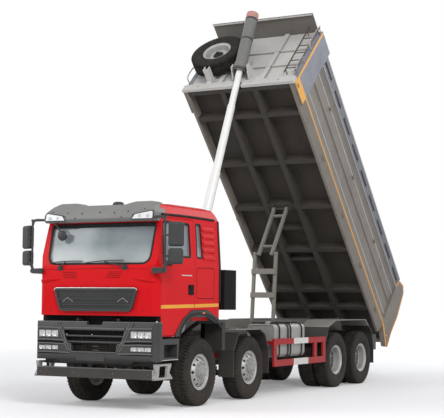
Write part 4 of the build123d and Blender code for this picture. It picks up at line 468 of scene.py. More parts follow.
# Thin bands beside the front wall's ribs, painted darker as the ribs' shadows.
RIB_SHADOW_LINES = [[("body_z", 0.77, 0.785)], [("body_z", 1.31, 1.325)]] + [
    [("x", *limits), ("body_z", 0.33, 1.99)]
    for limits in ((0.52, 0.533), (0.407, 0.42), (-0.533, -0.52), (-0.42, -0.407))]
wall_paint = coated("pale_front_wall_paint", (0.56, 0.55, 0.525), (0.38, 0.36, 0.33), 0.6, 0.5, (0.45, 0.7),
                    0.02, 0.2, specular=0.3, zones=[([("body_z", 1.99, 2.3)], (0.17, 0.158, 0.142))]
                    + [(limits, (0.25, 0.235, 0.215)) for limits in RIB_SHADOW_LINES])
ladder_paint = coated("dark_ladder_paint", (0.1, 0.075, 0.065), (0.06, 0.045, 0.04), 0.6, 0.3, (0.5, 0.7),
                      0.01, 0.2, specular=0.3)
hoist_steel = coated("pale_hoist_steel", (0.84, 0.84, 0.82), (0.66, 0.64, 0.6), 0.5, 0.4, (0.25, 0.4), 0.01,
                     0.1,
                     metal=0.15)
tyre_rubber = coated("tyre_rubber", (0.017, 0.015, 0.013), (0.045, 0.037, 0.03), 0.8, 0.12, (0.7, 0.9),
                     0.006, 0.3, dust=(1.3, 0.08), specular=0.22)
wheel_paint = coated("silver_wheel_paint", (0.44, 0.44, 0.43), (0.3, 0.28, 0.25), 0.6, 0.08, (0.35, 0.55),
                     0.01, 0.2, metal=0.25, dust=(0.9, 0.12))
wheel_disc_paint = coated("dull_wheel_disc_paint", (0.33, 0.33, 0.325), (0.2, 0.19, 0.175), 0.6, 0.08,
                          (0.35, 0.55), 0.01, 0.2, metal=0.25, dust=(0.9, 0.12))
# Rear wheel discs and hubs, dark brown: dust, and painted shade in the deep dish.
dust_and_shade_disc_paint = coated("dust_and_shade_wheel_disc_paint", (0.085, 0.075, 0.065), (0.15, 0.13, 0.11), 0.6, 0.08,
                          (0.5, 0.7), 0.01, 0.2, specular=0.2)
black_rubber = coated("black_rubber", (0.014, 0.014, 0.014), (0.03, 0.03, 0.028), 0.5, 0.2, (0.55, 0.75),
                      0.004, 0.3, specular=0.2)
seam_dark = coated("dark_seam", (0.09, 0.008, 0.008), (0.05, 0.008, 0.008), 0.4, 0.2, (0.6, 0.8), 0.004, 0.2,
                   specular=0.1)
# Pale paint for the body's side beads and corner ribs: painted highlights along them.
highlight_bead_paint = coated("painted_highlight_bead_paint", (0.5, 0.5, 0.49), (0.36, 0.35, 0.33), 0.6, 0.3, (0.4, 0.6), 0.01, 0.2,
                    specular=0.35)
slot_dark = coated("dark_slot", (0.012, 0.011, 0.011), (0.03, 0.026, 0.024), 0.4, 0.2, (0.7, 0.9), 0.004, 0.2,
                   specular=0.1)
cover_paint = coated("dark_hoist_cover_paint", (0.155, 0.155, 0.15), (0.21, 0.2, 0.19), 0.6, 0.3,
                     (0.35, 0.55),
                     0.008, 0.2)
cap_red = coated("faded_red_cap", (0.52, 0.24, 0.2), (0.42, 0.3, 0.27), 0.6, 0.08, (0.5, 0.7), 0.008, 0.2)
link_paint = coated("light_link_paint", (0.205, 0.19, 0.165), (0.14, 0.125, 0.105), 0.6, 0.2, (0.5, 0.7),
                    0.01, 0.2)
bare_metal = coated("bare_metal", (0.4, 0.39, 0.37), (0.2, 0.15, 0.11), 0.7, 0.05, (0.3, 0.5), 0.004, 0.2,
                    metal=0.5)
bright_metal = coated("bright_metal", (0.62, 0.62, 0.61), (0.4, 0.39, 0.37), 0.5, 0.1, (0.2, 0.38), 0.004,
                      0.15,
                      metal=0.6)
mirror_silver = coated("mirror_silver", (0.75, 0.77, 0.79), (0.6, 0.62, 0.64), 0.3, 0.2, (0.03, 0.08), 0.01,
                       0.02,
                       metal=1.0)
lamp_white = coated("frosted_lamp_cover", (0.74, 0.75, 0.75), (0.6, 0.61, 0.62), 0.4, 0.05, (0.15, 0.3),
                    0.006, 0.2)
red_lens = coated("red_lens", (0.45, 0.01, 0.01), (0.28, 0.01, 0.01), 0.4, 0.05, (0.12, 0.25), 0.006, 0.25)
amber_lens = coated("amber_lens", (0.75, 0.16, 0.02), (0.5, 0.1, 0.02), 0.4, 0.05, (0.12, 0.25), 0.006, 0.25)
stripe_yellow = coated("yellow_strip", (0.8, 0.36, 0.02), (0.55, 0.28, 0.05), 0.6, 0.15, (0.4, 0.6), 0.006,
                       0.15)
stripe_orange = coated("orange_strip", (0.72, 0.3, 0.03), (0.5, 0.24, 0.06), 0.6, 0.15, (0.4, 0.6), 0.006,
                       0.15)
curtain_cloth = coated("curtain_cloth", (0.3, 0.27, 0.22), (0.2, 0.18, 0.15), 0.5, 0.1, (0.8, 0.95), 0.003,
                       0.5)
FINISHES = {
    "cab_paint": red_paint, "frame_paint": frame_paint, "dark_steel": sooty_steel,
    "dark_plastic": matt_plastic,
    "visor_plastic": visor_plastic, "trim_plastic": trim_plastic, "lamp_lens": lamp_lens,
    "tank_metal": tank_metal,
    "guard_paint": guard_paint, "window_glass": clear_glass, "seat_cloth": seat_cloth,
    "body_paint": body_paint,
    "front_wall_paint": wall_paint, "hoist_steel": hoist_steel, "tyre_rubber": tyre_rubber,
    "wheel_paint": wheel_paint, "cover_paint": cover_paint, "link_paint": link_paint,
}
NODE_FINISHES = {
    "bed_floor": shaded_underside_paint, "air_intake": black_plastic, "sub_frame": subframe_paint,
    "underrun_bar": bar_paint, "cab_glass": screen_glass, "mudguards": mudguard_paint, "ladder": ladder_paint,
}


def dress_cad():
    """Gives every node of the frame the finish of its slot, or its own where NODE_FINISHES has one."""
    slots = {part["node"]: part["material_slot"] for part in frame["record"]["subparts"]}
    for name, node in NODES.items():
        node.data.materials.clear()
        node.data.materials.append(NODE_FINISHES.get(name, FINISHES[slots[name]]))


# ---------------------------------------------------------------- camera, floor and lights
def place_camera():
    """A long lens low beside the truck's front left corner, turned by yaw, pitch and roll."""
    yaw, pitch, roll = 0.494967, -0.0758574, 0.0077908
    focal_pixels, picture_pixels, sensor = 1228.33, 444.0, 36.0
    back = Vector((math.sin(yaw) * math.cos(pitch), -math.cos(yaw) * math.cos(pitch), math.sin(pitch)))
    right = (-back).cross(Vector((0, 0, 1))).normalized()
    up = right.cross(-back)
    axes = (math.cos(roll) * right + math.sin(roll) * up, -math.sin(roll) * right + math.cos(roll) * up, back)
    lens = bpy.data.cameras.new("camera")
    lens.sensor_width = sensor
    lens.lens = focal_pixels * sensor / picture_pixels
    lens.clip_end = 500.0
    camera = bpy.data.objects.new("camera", lens)
    place = Matrix.Translation((11.2244, -21.978043, 1.719))
    camera.matrix_world = place @ Matrix(axes).transposed().to_4x4()
    bpy.context.collection.objects.link(camera)
    bpy.context.scene.camera = camera
    bpy.context.scene.view_settings.view_transform = "Standard"


def place_floor():
    """A plain pale disc under the truck. What the camera sees of it glows a little, more far from the
    truck, so that it fades into the white surround."""
    count, radius = 96, 160
    turn = np.linspace(0.0, 2 * math.pi, count, endpoint=False)
    rim = np.stack([radius * np.cos(turn), radius * np.sin(turn), np.zeros(count)], 1)
    mesh = bpy.data.meshes.new("floor")
    mesh.from_pydata(rim.tolist(), [], [list(range(count))])
    floor = bpy.data.objects.new("floor", mesh)
    bpy.context.collection.objects.link(floor)
    plain = Finish("pale_floor")
    reach = plain.add("VectorMath", operation="LENGTH")
    plain.join(plain.place, reach.inputs[0])
    glow = plain.times(plain.span(reach.outputs["Value"], 7.0, 30.0, 0.16, 0.62),
                       plain.add("LightPath").outputs["Is Camera Ray"])
    plain.dress(Base_Color=(0.86, 0.86, 0.86, 1), Roughness=0.9, Specular_IOR_Level=0.1,
                Emission_Color=(1, 1, 1, 1), Emission_Strength=glow)
    mesh.materials.append(plain.material)


def place_lights():
    """Soft studio panels round the truck and a pale surround, white to the camera, glass and gloss."""
    world = bpy.data.worlds.new("surround")
    bpy.context.scene.world = world
    world.use_nodes = True
    nodes = Nodes(world.node_tree)
    sky = nodes.tree.nodes["Background"]
    sky.inputs["Color"].default_value = (0.93, 0.95, 1.0, 1)
    sky.inputs["Strength"].default_value = 0.52
    shown = nodes.add("Background", [("Color", (1, 1, 1, 1)), ("Strength", 1.0)])
    rays = nodes.add("LightPath").outputs
    seen = rays["Is Camera Ray"]
    for kind in ("Is Transmission Ray", "Is Glossy Ray"):
        either = nodes.add("Math", operation="MAXIMUM")
        nodes.join(seen, either.inputs[0])
        nodes.join(rays[kind], either.inputs[1])
        seen = either.outputs[0]
    mix = nodes.add("MixShader")
    for index, out in enumerate((seen, sky.outputs[0], shown.outputs[0])):
        nodes.join(out, mix.inputs[index])
    nodes.join(mix.outputs[0], nodes.tree.nodes["World Output"].inputs["Surface"])
    panels = (  # name, place, size, watts
        ("key_panel", (16.0, -17.0, 15.0), 9.0, 3100.0),
        ("fill_panel", (-15.0, -16.0, 11.0), 10.0, 1300.0),
        ("rear_panel", (5.0, 20.0, 14.0), 10.0, 900.0),
    )
    for name, place, size, watts in panels:
        lamp = bpy.data.lights.new(name, "AREA")
        lamp.shape, lamp.size, lamp.energy = "DISK", size, watts
        panel = bpy.data.objects.new(name, lamp)
        panel.location = place
        panel.rotation_mode = "QUATERNION"
        panel.rotation_quaternion = (Vector((0, 0, 2.2)) - Vector(place)).to_track_quat("-Z", "Y")
        bpy.context.collection.objects.link(panel)


# ---------------------------------------------------------------- wheels and tyres
TREAD_PITCHES = 56
SHOULDER_GROOVE, SHOULDER_FROM = 0.019, 0.05
TYRE_SIDE = [(0.263, 0.1095), (0.294, 0.112), (0.31, 0.125), (0.33, 0.14), (0.336, 0.1455),
             (0.346, 0.146), (0.352, 0.1425), (0.38, 0.1515), (0.4125, 0.156), (0.45, 0.1555),
             (0.48, 0.1512), (0.486, 0.1535), (0.496, 0.153), (0.502, 0.147), (0.52, 0.144),
             (0.533, 0.144), (0.545, 0.14), (0.556, 0.129), (0.56, 0.12)]
RIB_EDGES = [0.085, 0.0825, 0.0735, 0.071, 0.035, 0.0325, 0.0235, 0.021]


def tyre(centre, sense, axis=0):
    """A tyre as a grid: one parameter goes round it by pitches of the tread, the other goes round its
    section. The radius is the section's, less a groove's depth where a groove of either family runs;
    the ribs between the long grooves sway from side to side once a pitch."""
    side, rib_edges = np.array(TYRE_SIDE), np.array(RIB_EDGES)
    plain = np.zeros(len(side))
    half_reach = np.concatenate([side[:, 1], rib_edges])
    half_radius = np.concatenate([side[:, 0], 0.56 + 0.0025 * (1 - (rib_edges / 0.12) ** 2)])
    half_sunk = np.concatenate([plain, [0, 1, 1, 0, 0, 1, 1, 0]])
    half_sway = np.concatenate([plain, np.ones(len(rib_edges))])
    reach = np.concatenate([half_reach, -half_reach[::-1]])
    radius, long_groove, sway = (
        np.concatenate([half, half[::-1]]) for half in (half_radius, half_sunk, half_sway))
    stations = np.array([0.0, 0.28, 0.56, 0.62, 0.94])
    cross = np.tile([0.0, 0.0, 0.0, 1.0, 1.0], TREAD_PITCHES)[:, None]
    pitch = 2 * math.pi / TREAD_PITCHES
    turn = (np.arange(TREAD_PITCHES)[:, None] + stations[None]).ravel() * pitch
    lean = 0.35 * np.abs(reach)[None] / 0.15 * pitch
    shoulders = ((np.abs(reach) > SHOULDER_FROM) & (radius > 0.53))[None]
    rim = radius[None] - np.maximum(0.011 * long_groove[None], SHOULDER_GROOVE * cross * shoulders)
    swing = 0.0035 * np.sin(turn * TREAD_PITCHES)[:, None] * sway[None]
    angle = turn[:, None] + lean
    points = laid(sense * (reach[None] + swing), rim * np.cos(angle), rim * np.sin(angle), axis)
    return points + np.asarray(centre, float), [grid_faces(len(turn), len(reach), True, True)]


BAND_INNER, BAND_OUTER = 0.182, 0.236
HAND_HOLES, HOLE_HALF_WIDTH, HOLE_HALF_HEIGHT = 10, 0.0225, 0.0185


def pierced_band(centre, reach_at, thickness, sense, axis=0, steps=6):
    """A turned band between two radii with a row of holes. Each hole's sector is a grid: one parameter
    goes round the hole and the square about it, the other from the square on the front to the hole's
    rim and back to the square behind; reach_at gives the front's reach at each radius."""
    half_turn = math.pi / HAND_HOLES
    middle, half = (BAND_INNER + BAND_OUTER) / 2, (BAND_OUTER - BAND_INNER) / 2
    edge = np.linspace(-1, 1, 2 * steps, endpoint=False)
    one = np.ones_like(edge)
    sides = ((edge, -one), (one, edge), (-edge, one), (-one, -edge))
    square = np.concatenate([np.stack(pair, 1) for pair in sides])
    circle = square / np.linalg.norm(square, axis=1, keepdims=True)
    rim, border = circle * [HOLE_HALF_WIDTH / middle, HOLE_HALF_HEIGHT], square * [half_turn, half]
    share = np.array([1.0, 0.6, 0.2, 0.06, 0.0, 0.0, 0.06, 1.0])[:, None, None]
    sunk = np.array([0.0, 0.0, 0.0, 0.1, 0.5, 1.0, 1.0, 1.0])[:, None] * thickness
    flat = rim[None] * (1 - share) + border[None] * share
    radius = middle + flat[..., 1]
    reach = sense * (np.interp(radius, *np.asarray(reach_at).T) - sunk)
    points, faces = [], []
    for index in range(HAND_HOLES):
        angle = flat[..., 0] + index * 2 * half_turn
        faces.append(grid_faces(len(share), len(square), False, True) + index * radius.size)
        points.append(laid(reach, radius * np.cos(angle), radius * np.sin(angle), axis))
    return np.concatenate(points) + np.asarray(centre, float), faces


def nut_ring(centre, circle, count, size, sense, axis=0, start=0.0):
    """Hexagonal nuts on studs, set round a circle."""
    head = [(0, 0), (1.25, 0), (1.25, 0.18), (1, 0.2), (1, 1.05), (0.8, 1.2), (0.55, 1.2), (0.55, 1.75),
            (0, 1.8)]
    angle = start + np.arange(count) * 2 * math.pi / count
    places = laid(np.zeros(count), circle * np.cos(angle), circle * np.sin(angle), axis)
    return stamp(turned(np.array(head) * size, (0, 0, 0), axis, sense, 6), places + np.asarray(centre, float))


RIM = [(0.25, 0.079), (0.252, 0.105), (0.262, 0.115), (0.288, 0.1175), (0.2975, 0.123), (0.301, 0.13),
       (0.299, 0.134), (0.295, 0.133), (0.2925, 0.126), (0.286, 0.115)]
RIM_OUTSIDE = [(0.2625, 0.1125), (0.262, 0.09), (0.256, 0.06), (0.256, -0.06), (0.262, -0.09),
               (0.2625, -0.1125), (0.286, -0.115), (0.2925, -0.126), (0.295, -0.133), (0.299, -0.134),
               (0.301, -0.13), (0.2975, -0.123), (0.288, -0.1175), (0.262, -0.115), (0.25, -0.105)]


def front_wheel(x, y, side):
    """An outset disc with ten hand holes, its rim, the bolted hub and cap."""
    centre = (x, y, TYRE_RADIUS)
    slope = [(0.182, 0.146), (0.195, 0.14), (0.222, 0.108), (0.236, 0.092)]
    rim = [(0.236, 0.092), (0.245, 0.086)] + RIM + RIM_OUTSIDE + [(0.248, 0.055), (0.236, 0.082)]
    face = [(0, 0.196), (0.052, 0.196), (0.064, 0.192), (0.068, 0.184), (0.068, 0.178), (0.098, 0.176),
            (0.106, 0.172), (0.11, 0.16), (0.112, 0.15), (0.14, 0.15), (0.143, 0.1475), (0.176, 0.1475),
            (0.182, 0.146)]
    back = [(0.182, 0.136), (0.125, 0.136), (0.122, -0.055), (0.0, -0.055)]
    parts = [pierced_band(centre, slope, 0.01, side)] + [
        turned(outline, centre, 0, side, 120) for outline in (rim, face, back)]
    nuts = [nut_ring((x + side * 0.1475, y, TYRE_RADIUS), 0.16, 10, 0.015, side, start=0.314),
            nut_ring((x + side * 0.174, y, TYRE_RADIUS), 0.086, 8, 0.0085, side)]
    return parts, nuts


def rear_wheels(x, y, side):
    """Outer rim with its disc deep inside and the hub standing out, inner rim turned about, and drum."""
    centre, inner_centre = (x, y, TYRE_RADIUS), (x - side * 0.35, y, TYRE_RADIUS)
    slope = [(0.182, -0.1), (0.2, -0.085), (0.222, -0.05), (0.236, -0.02)]
    rim = [(0.236, -0.02), (0.246, -0.01), (0.249, 0.01)] + RIM + RIM_OUTSIDE[:-1] + [
        (0.248, -0.035), (0.236, -0.032)]
    face = [(0, 0.045), (0.045, 0.045), (0.06, 0.042), (0.066, 0.034), (0.105, 0.032), (0.112, 0.026),
            (0.116, 0.01), (0.118, -0.01), (0.128, -0.025), (0.132, -0.09), (0.136, -0.098), (0.176, -0.098),
            (0.182, -0.1)]
    back = [(0.182, -0.112), (0.064, -0.112), (0.064, -0.06), (0.0, -0.06)]
    parts = [pierced_band(centre, slope, 0.012, side)] + [
        turned(outline, centre, 0, side, 120) for outline in (rim, face, back)]
    behind = [(0.064, 0.172), (0.182, 0.172), (0.24, 0.125), (0.249, 0.09)] + RIM[1:] + RIM_OUTSIDE + [
        (0.248, 0.07), (0.23, 0.115), (0.182, 0.158), (0.064, 0.158)]
    parts.append(turned(behind, inner_centre, 0, side, 96, closed=True))
    drum = [(0.064, -0.108), (0.17, -0.108), (0.198, -0.098), (0.2, -0.06), (0.205, -0.055), (0.205, -0.045),
            (0.2, -0.04), (0.2, 0.11), (0.19, 0.15), (0.064, 0.15)]
    nuts = [nut_ring((x - side * 0.098, y, TYRE_RADIUS), 0.156, 10, 0.015, side, start=0.314),
            nut_ring((x + side * 0.0325, y, TYRE_RADIUS), 0.088, 10, 0.009, side)]
    return parts, nuts, turned(drum, inner_centre, 0, side, 96, closed=True)


def make_wheels():
    """Every wheel's tread, rim, disc and nuts; a rear pair has two tyres and a drum."""
    for axle, y in AXLES.items():
        rear = axle.startswith("rear")
        for name, side in SIDES:
            body = f"wheel_{axle}_{name}"
            treads = [tyre((side * x, y, TYRE_RADIUS), side) for x in ((1.09, 0.74) if rear else (1.024,))]
            many = "s" if rear else ""
            piece(f"{body}_tyre_tread{many}", treads, body, tyre_rubber, swaps=[f"tyre{many}_{axle}_{name}"],
                  sharp=28)
            wheel = [f"wheel{many}_{axle}_{name}"]
            if rear:
                (band, rim, face, back, inner_rim), nuts, drum = rear_wheels(side * 1.09, y, side)
                piece(f"{body}_rims", [rim, inner_rim], body, wheel_paint, swaps=wheel, sharp=30)
                # Disc and hub deep in the rims, dark from dust and painted shade.
                piece(f"{body}_disc_and_hub", [band, face, back], body, dust_and_shade_disc_paint, sharp=30)
            else:
                parts, nuts = front_wheel(side * 1.024, y, side)
                piece(f"{body}_band_and_rim", parts[:2], body, wheel_paint, swaps=wheel, sharp=30)
                piece(f"{body}_disc_and_hub", parts[2:], body, wheel_disc_paint, sharp=30)
            piece(f"{body}_nuts", nuts, body, bare_metal, sharp=30)
            if rear:
                piece(f"{body}_drum", [drum], body, sooty_steel, sharp=30)


def make_spare():
    """The spare lies flat to the front wall of the dump body, its disc inwards."""
    x, y, z = centre = (-0.705, BED_FRONT - 0.065 - 0.1575, 0.7)
    piece("spare_tyre_tread", [tyre(centre, -1, axis=1)], "dump_body", tyre_rubber, on_bed,
          swaps=["spare_tyre"], sharp=28)
    slope = [(0.182, 0.03), (0.195, 0.026), (0.222, 0.004), (0.236, -0.005)]
    rim = [(0.236, -0.005), (0.245, 0.02)] + RIM + RIM_OUTSIDE + [(0.248, -0.025), (0.236, -0.015)]
    face = [(0.075, 0.03), (0.176, 0.03), (0.182, 0.03)]
    back, middle = [(0.182, 0.02), (0.075, 0.02)], [(0.075, 0.02), (0.075, 0.03)]
    parts = [pierced_band(centre, slope, 0.01, -1, 1)]
    parts += [turned(outline, centre, 1, -1, 120) for outline in (rim, face, back, middle)]
    piece("spare_wheel_disc", parts, "dump_body", wheel_paint, on_bed, swaps=["spare_wheel"], sharp=30)
    holder = [(0, 0.1), (0.03, 0.1), (0.03, 0.06), (0.085, 0.055), (0.11, 0.035), (0.11, 0.0305),
              (0.0, 0.0305)]
    piece("spare_wheel_holder", [turned(holder, centre, 1, -1, 36),
                                 nut_ring((x, y - 0.055, z), 0.07, 3, 0.014, -1, 1)],
          "dump_body", sooty_steel, on_bed, sharp=30)


# ---------------------------------------------------------------- cab
def side_x(z):
    """How far out the cab's side lies at a height: upright to the sill, then leaning in."""
    return 1.14 - 0.052 * np.clip((np.asarray(z) - 2.3) / 0.81, 0, 1)


def nose_y(z):
    """Where the cab's front lies at a height, from the nose's foot up over the windscreen."""
    return np.interp(z, [1.17, 1.49, 1.8, 1.96, 2.12, 2.25, 2.33, 3.02, 3.2],
                     [-1.34, -1.378, -1.392, -1.396, -1.381, -1.364, -1.35, -1.185, -1.13])


def along_side(path, outline, lift=0.0, ring=False):
    """A flat outline carried along a path (y, z) drawn on the cab's left side."""
    path = np.asarray(path, float)
    points = np.stack([side_x(path[:, 1]) + lift, path[:, 0], path[:, 1]], 1)
    return carried(outline, points, OUTWARD, ring)


def along_nose(path, outline, lift=0.0, ring=False):
    """A flat outline carried along a path (x, z) drawn on the cab's front."""
    path = np.asarray(path, float)
    return carried(outline, at_y(path, nose_y(path[:, 1]) - lift), AHEAD, ring)


DOOR_GLASS = rounded([(-1.175, 2.31), (-1.142, 3.005), (-0.305, 3.005), (-0.295, 2.455), (-0.83, 2.455),
                      (-0.92, 2.31)], [0.03, 0.035, 0.04, 0.04, 0.07, 0.06])
QUARTER_GLASS = rounded([(-0.085, 2.455), (-0.085, 3.02), (0.075, 3.02), (0.11, 2.455)], 0.035)
SCREEN = rounded([(-0.985, 2.325), (-1.01, 2.975), (1.01, 2.975), (0.985, 2.325)], [0.17, 0.06, 0.06, 0.17],
                 9)
ARCH = [(-0.668, 1.215), (-0.6, 1.33), (-0.46, 1.455), (-0.28, 1.535), (-0.04, 1.562), (0.22, 1.545),
        (0.45, 1.488), (0.62, 1.405), (0.742, 1.315)]


def make_cab_sides():
    """Rubbers, rail, louvres, handle, hatch, stripe and seams on both sides of the cab."""
    for name, side in SIDES:
        door = f"{name}_door"

        def put(label, parts, body, finish, **more):
            piece(f"{label}_{name}", [on_side(part, side) for part in parts], body, finish, **more)

        put("door_window_seal", [along_side(DOOR_GLASS, bead(0.03, 0.006), ring=True)], door, black_rubber)
        put("door_handle", [
            slab(rounded(rectangle((-0.385, -0.205), (1.835, 2.005)), 0.02), "x", 1.1405, 1.146),
            box((1.146, 1.158), (-0.365, -0.225), (1.945, 1.985)),
            turned([(0, 0.006), (0.012, 0.006), (0.012, 0.008), (0, 0.008)], (1.14, -0.295, 1.875), count=16),
        ], door, black_plastic, bevel=0.003)
        strip = rounded(rectangle((-0.6, -0.27), (2.146, 2.162)), 0.004)
        put("door_plain_strip", [slab(strip, "x", 1.1395, 1.1425)], door, bright_metal)
        put("door_creases", [
            along_side(smooth_path([(-1.2, 1.668), (-0.92, 1.745), (-0.62, 1.83), (-0.42, 1.885)]),
                       bead(0.02, 0.0035), -0.001),
            along_side([(-1.232, 2.235), (-0.75, 2.262), (-0.195, 2.275)], bead(0.016, 0.003), -0.001),
            along_side([(-1.232, 1.4), (-0.86, 1.4)], bead(0.014, 0.003), -0.001),
        ], door, red_paint)
        for label, low, high, body in (("door_stripe", (-1.242, 1.612), (-0.184, 1.628), door),
                                       ("cab_stripe", (-0.167, 1.628), (0.66, 1.644), "cab")):
            stripe = [low, (low[0], low[1] + 0.056), (high[0], high[1] + 0.056), high]
            put(label, [slab(stripe, "x", 1.1395, 1.1418)], body, stripe_yellow)
        put("cab_side_rubbers", [
            along_side(QUARTER_GLASS, bead(0.028, 0.006), ring=True),
            along_side(smooth_path([(-1.17, 3.118), (-0.6, 3.128), (0.0, 3.128), (0.56, 3.12)]),
                       bead(0.038, 0.026), -0.004),
        ], "cab", black_rubber)
        corner = [(side_x(z) + 0.001, 0.698, z) for z in np.linspace(1.72, 3.11, 10)]
        put("cab_corner_seal", [carried(rectangle((-0.024, 0.024), (-0.01, 0.01)), corner, OUTWARD)],
            "cab", black_rubber, bevel=0.003)
        louvre = [(-0.036, -0.004), (-0.036, 0.001), (0.022, 0.022), (0.034, 0.02), (0.036, -0.004)]
        put("cab_louvres", [along_side(smooth_path([(0.13, z), (0.32, z + 0.006), (0.52, z)]), louvre)
                            for z in (2.94, 2.82, 2.705, 2.586, 2.46)], "cab", red_paint, bevel=0.002)
        hatch = rounded(rectangle((-0.1, 0.5), (1.78, 2.29)), 0.05)
        put("cab_hatch_seam", [along_side(hatch, bead(0.012, 0.002), -0.0005, ring=True)], "cab", seam_dark)
        put("arch_marker", [slab(rounded(rectangle((0.06, 0.155), (1.522, 1.55)), 0.01), "x", 1.154, 1.166)],
            "cab", amber_lens, bevel=0.003)
        arch = smooth_path(ARCH)
        lip = np.stack([np.full(len(arch), 1.156), arch[:, 0], arch[:, 1] - 0.03], 1)
        put("arch_lip", [ridge(lip, 0.05, 0.01, OUTWARD)], "cab", trim_plastic, sharp=50)


def wiper(pivot, low, high):
    """A bent arm from a spindle on its plate to the middle of a blade, which bows a little upwards."""
    def on_glass(x, z, lift):
        return (x, float(nose_y(z)) - lift, z)

    low, high, foot = np.array(low), np.array(high), float(nose_y(pivot[1]))
    middle, (x, z) = (low + high) / 2, pivot
    blade = []
    for t in np.linspace(0, 1, 9):
        across, upward = low + (high - low) * t
        blade.append(on_glass(across, upward + 0.012 * math.sin(math.pi * t), 0.018))
    plate = rounded(rectangle((x - 0.05, x + 0.05), (z - 0.055, z + 0.02)), 0.015)
    return [
        pipe([on_glass(x, z, 0.035), on_glass(*(np.array(pivot) * 0.6 + middle * 0.4), 0.045),
              on_glass(*middle, 0.03)], 0.01, 8),
        carried([(-0.008, -0.012), (-0.008, 0.01), (0.008, 0.01), (0.008, -0.012)], blade, AHEAD),
        turned([(0, 0.0), (0.034, 0.0), (0.034, 0.03), (0.026, 0.045), (0, 0.045)], (x, foot + 0.005, z), 1,
               -1, 20),
        slab(plate, "y", foot - 0.018, foot + 0.01),
    ]


def winglet():
    """The left end's fin: five points round its thickness at each of 14 stations, whose thickness and
    reach grow outwards; it follows the nose, then the corner's arc."""
    count, corner_x, corner_radius = 14, 1.002, 0.138
    s = np.linspace(0, 1, count)
    x, z = 0.7 + 0.44 * s, 2.085 - 0.03 * s
    thick = 0.012 + 0.05 * s ** 0.8
    reach = 0.006 + 0.034 * np.sin(s * math.pi * 0.5)
    arc = np.sqrt(np.maximum(corner_radius ** 2 - (x - corner_x) ** 2, 0))
    front = nose_y(2.07) + np.where(x < 1.0, 0.0, corner_radius - arc)
    round_it = ((-0.01 / reach, -0.8), (0.6, -0.7), (1.0, -0.1), (0.8, 0.35), (-0.01 / reach, 0.5))
    rows = np.stack([np.stack([x, front - reach * out, z + thick * up], 1) for out, up in round_it], 1)
    return rows.reshape(-1, 3), tube_faces(count, len(round_it))


def make_cab_front():
    """Windscreen rubber, wipers, slits, winglets, seams, the grille's edge and the roof's hatch."""
    piece("windscreen_rubber", [along_nose(SCREEN, bead(0.034, 0.007), ring=True)], "cab", black_rubber)
    shade = along_nose([(-0.985, 2.965), (0.0, 2.965), (0.985, 2.965)], bead(0.075, 0.006), -0.012)
    piece("windscreen_top_band", [shade], "cab", black_rubber)
    wipers = (wiper((-0.723, 2.275), (-0.95, 2.345), (-0.3, 2.372))
              + wiper((0.527, 2.28), (-0.22, 2.345), (0.5, 2.38)))
    piece("wipers", wipers, "cab", matt_plastic, sharp=40)
    slits = []
    for x, lean in ((-0.51, -0.012), (0.31, 0.012)):
        for row in range(4):
            middle, z = x + lean * row, 2.1 + 0.03 * row
            slits.append(along_nose([(middle - 0.135, z), (middle, z + 0.002), (middle + 0.135, z)],
                                    bead(0.009, 0.0025)))
    piece("nose_slits", slits, "cab", seam_dark)
    seam = bead(0.007, 0.0015)
    edges = [both(along_nose([(0.874, 2.3), (0.884, 2.0), (0.886, 1.56)], seam)),
             along_nose([(-0.99, 2.235), (0.0, 2.25), (0.99, 2.235)], seam)]
    piece("nose_seams", edges, "cab", seam_dark)
    piece("nose_winglets", [both(winglet())], "cab", red_paint, sharp=60)
    # A black panel over the nose's recessed foot, with four upright ribs: painted shade in the recess.
    foot = [box((-1.06, 1.06), (-1.2575, -1.2515), (1.185, 1.486))]
    foot += [box((x - 0.012, x + 0.012), (-1.264, -1.257), (1.2, 1.47)) for x in (-0.72, -0.24, 0.24, 0.72)]
    piece("nose_foot_shade_panel", foot, "cab", black_plastic, bevel=0.002)
    left = [(-0.8, 1.9), (-0.785, 1.925), (-0.75, 1.936)]
    edge = left + [(0.0, 1.937)] + [(-x, z) for x, z in left[::-1]]
    piece("grille_bright_edge", [ridge([(x, -1.43, z) for x, z in edge], 0.014, 0.006)], "cab", bright_metal,
          bevel=0.002)
    chevron = ((-0.1, -1.418, 1.712), (-0.02, -1.42, 1.765), (0, -1.42, 1.772), (0.02, -1.42, 1.765),
               (0.1, -1.418, 1.712))
    marks = [ridge([(middle + x, y, z) for x, y, z in chevron], 0.016, 0.008) for middle in (-0.53, 0.53)]
    piece("grille_marks", marks, "cab", visor_plastic, sharp=50)
    slats = []
    for z in np.arange(1.62, 1.88, 0.022):
        half = 0.745 - 0.329 * (1.94 - z)
        slats.append(box((-half, half), (-1.418, -1.408), (z, z + 0.006)))
    piece("grille_slats", slats, "cab", matt_plastic, bevel=0.0015)
    dome = [(0, 0.034), (0.05, 0.03), (0.08, 0.018), (0.092, 0.0), (0.096, -0.03), (0, -0.03)]
    piece("roof_aerial_base", [turned(dome, (0.06, -0.86, 3.338), 2, 1, 32)], "cab", matt_plastic, sharp=60)
    piece("roof_hatch", [slab(rounded(rectangle((-0.36, 0.36), (-0.28, 0.34)), 0.06), "z", 3.338, 3.366)],
          "cab",
          trim_plastic, bevel=0.008)


VISOR_LAMP = ((0.64, 3.034), (0.7, 3.118), (1.01, 3.168), (1.046, 3.15), (1.05, 3.034))
VISOR_FASTENERS = ((-0.93, 3.19), (-0.62, 3.165), (-0.33, 3.15), (0.02, 3.16), (0.3, 3.15), (0.56, 3.165),
                   (0.86, 3.2), (-0.45, 3.075), (0.45, 3.075))


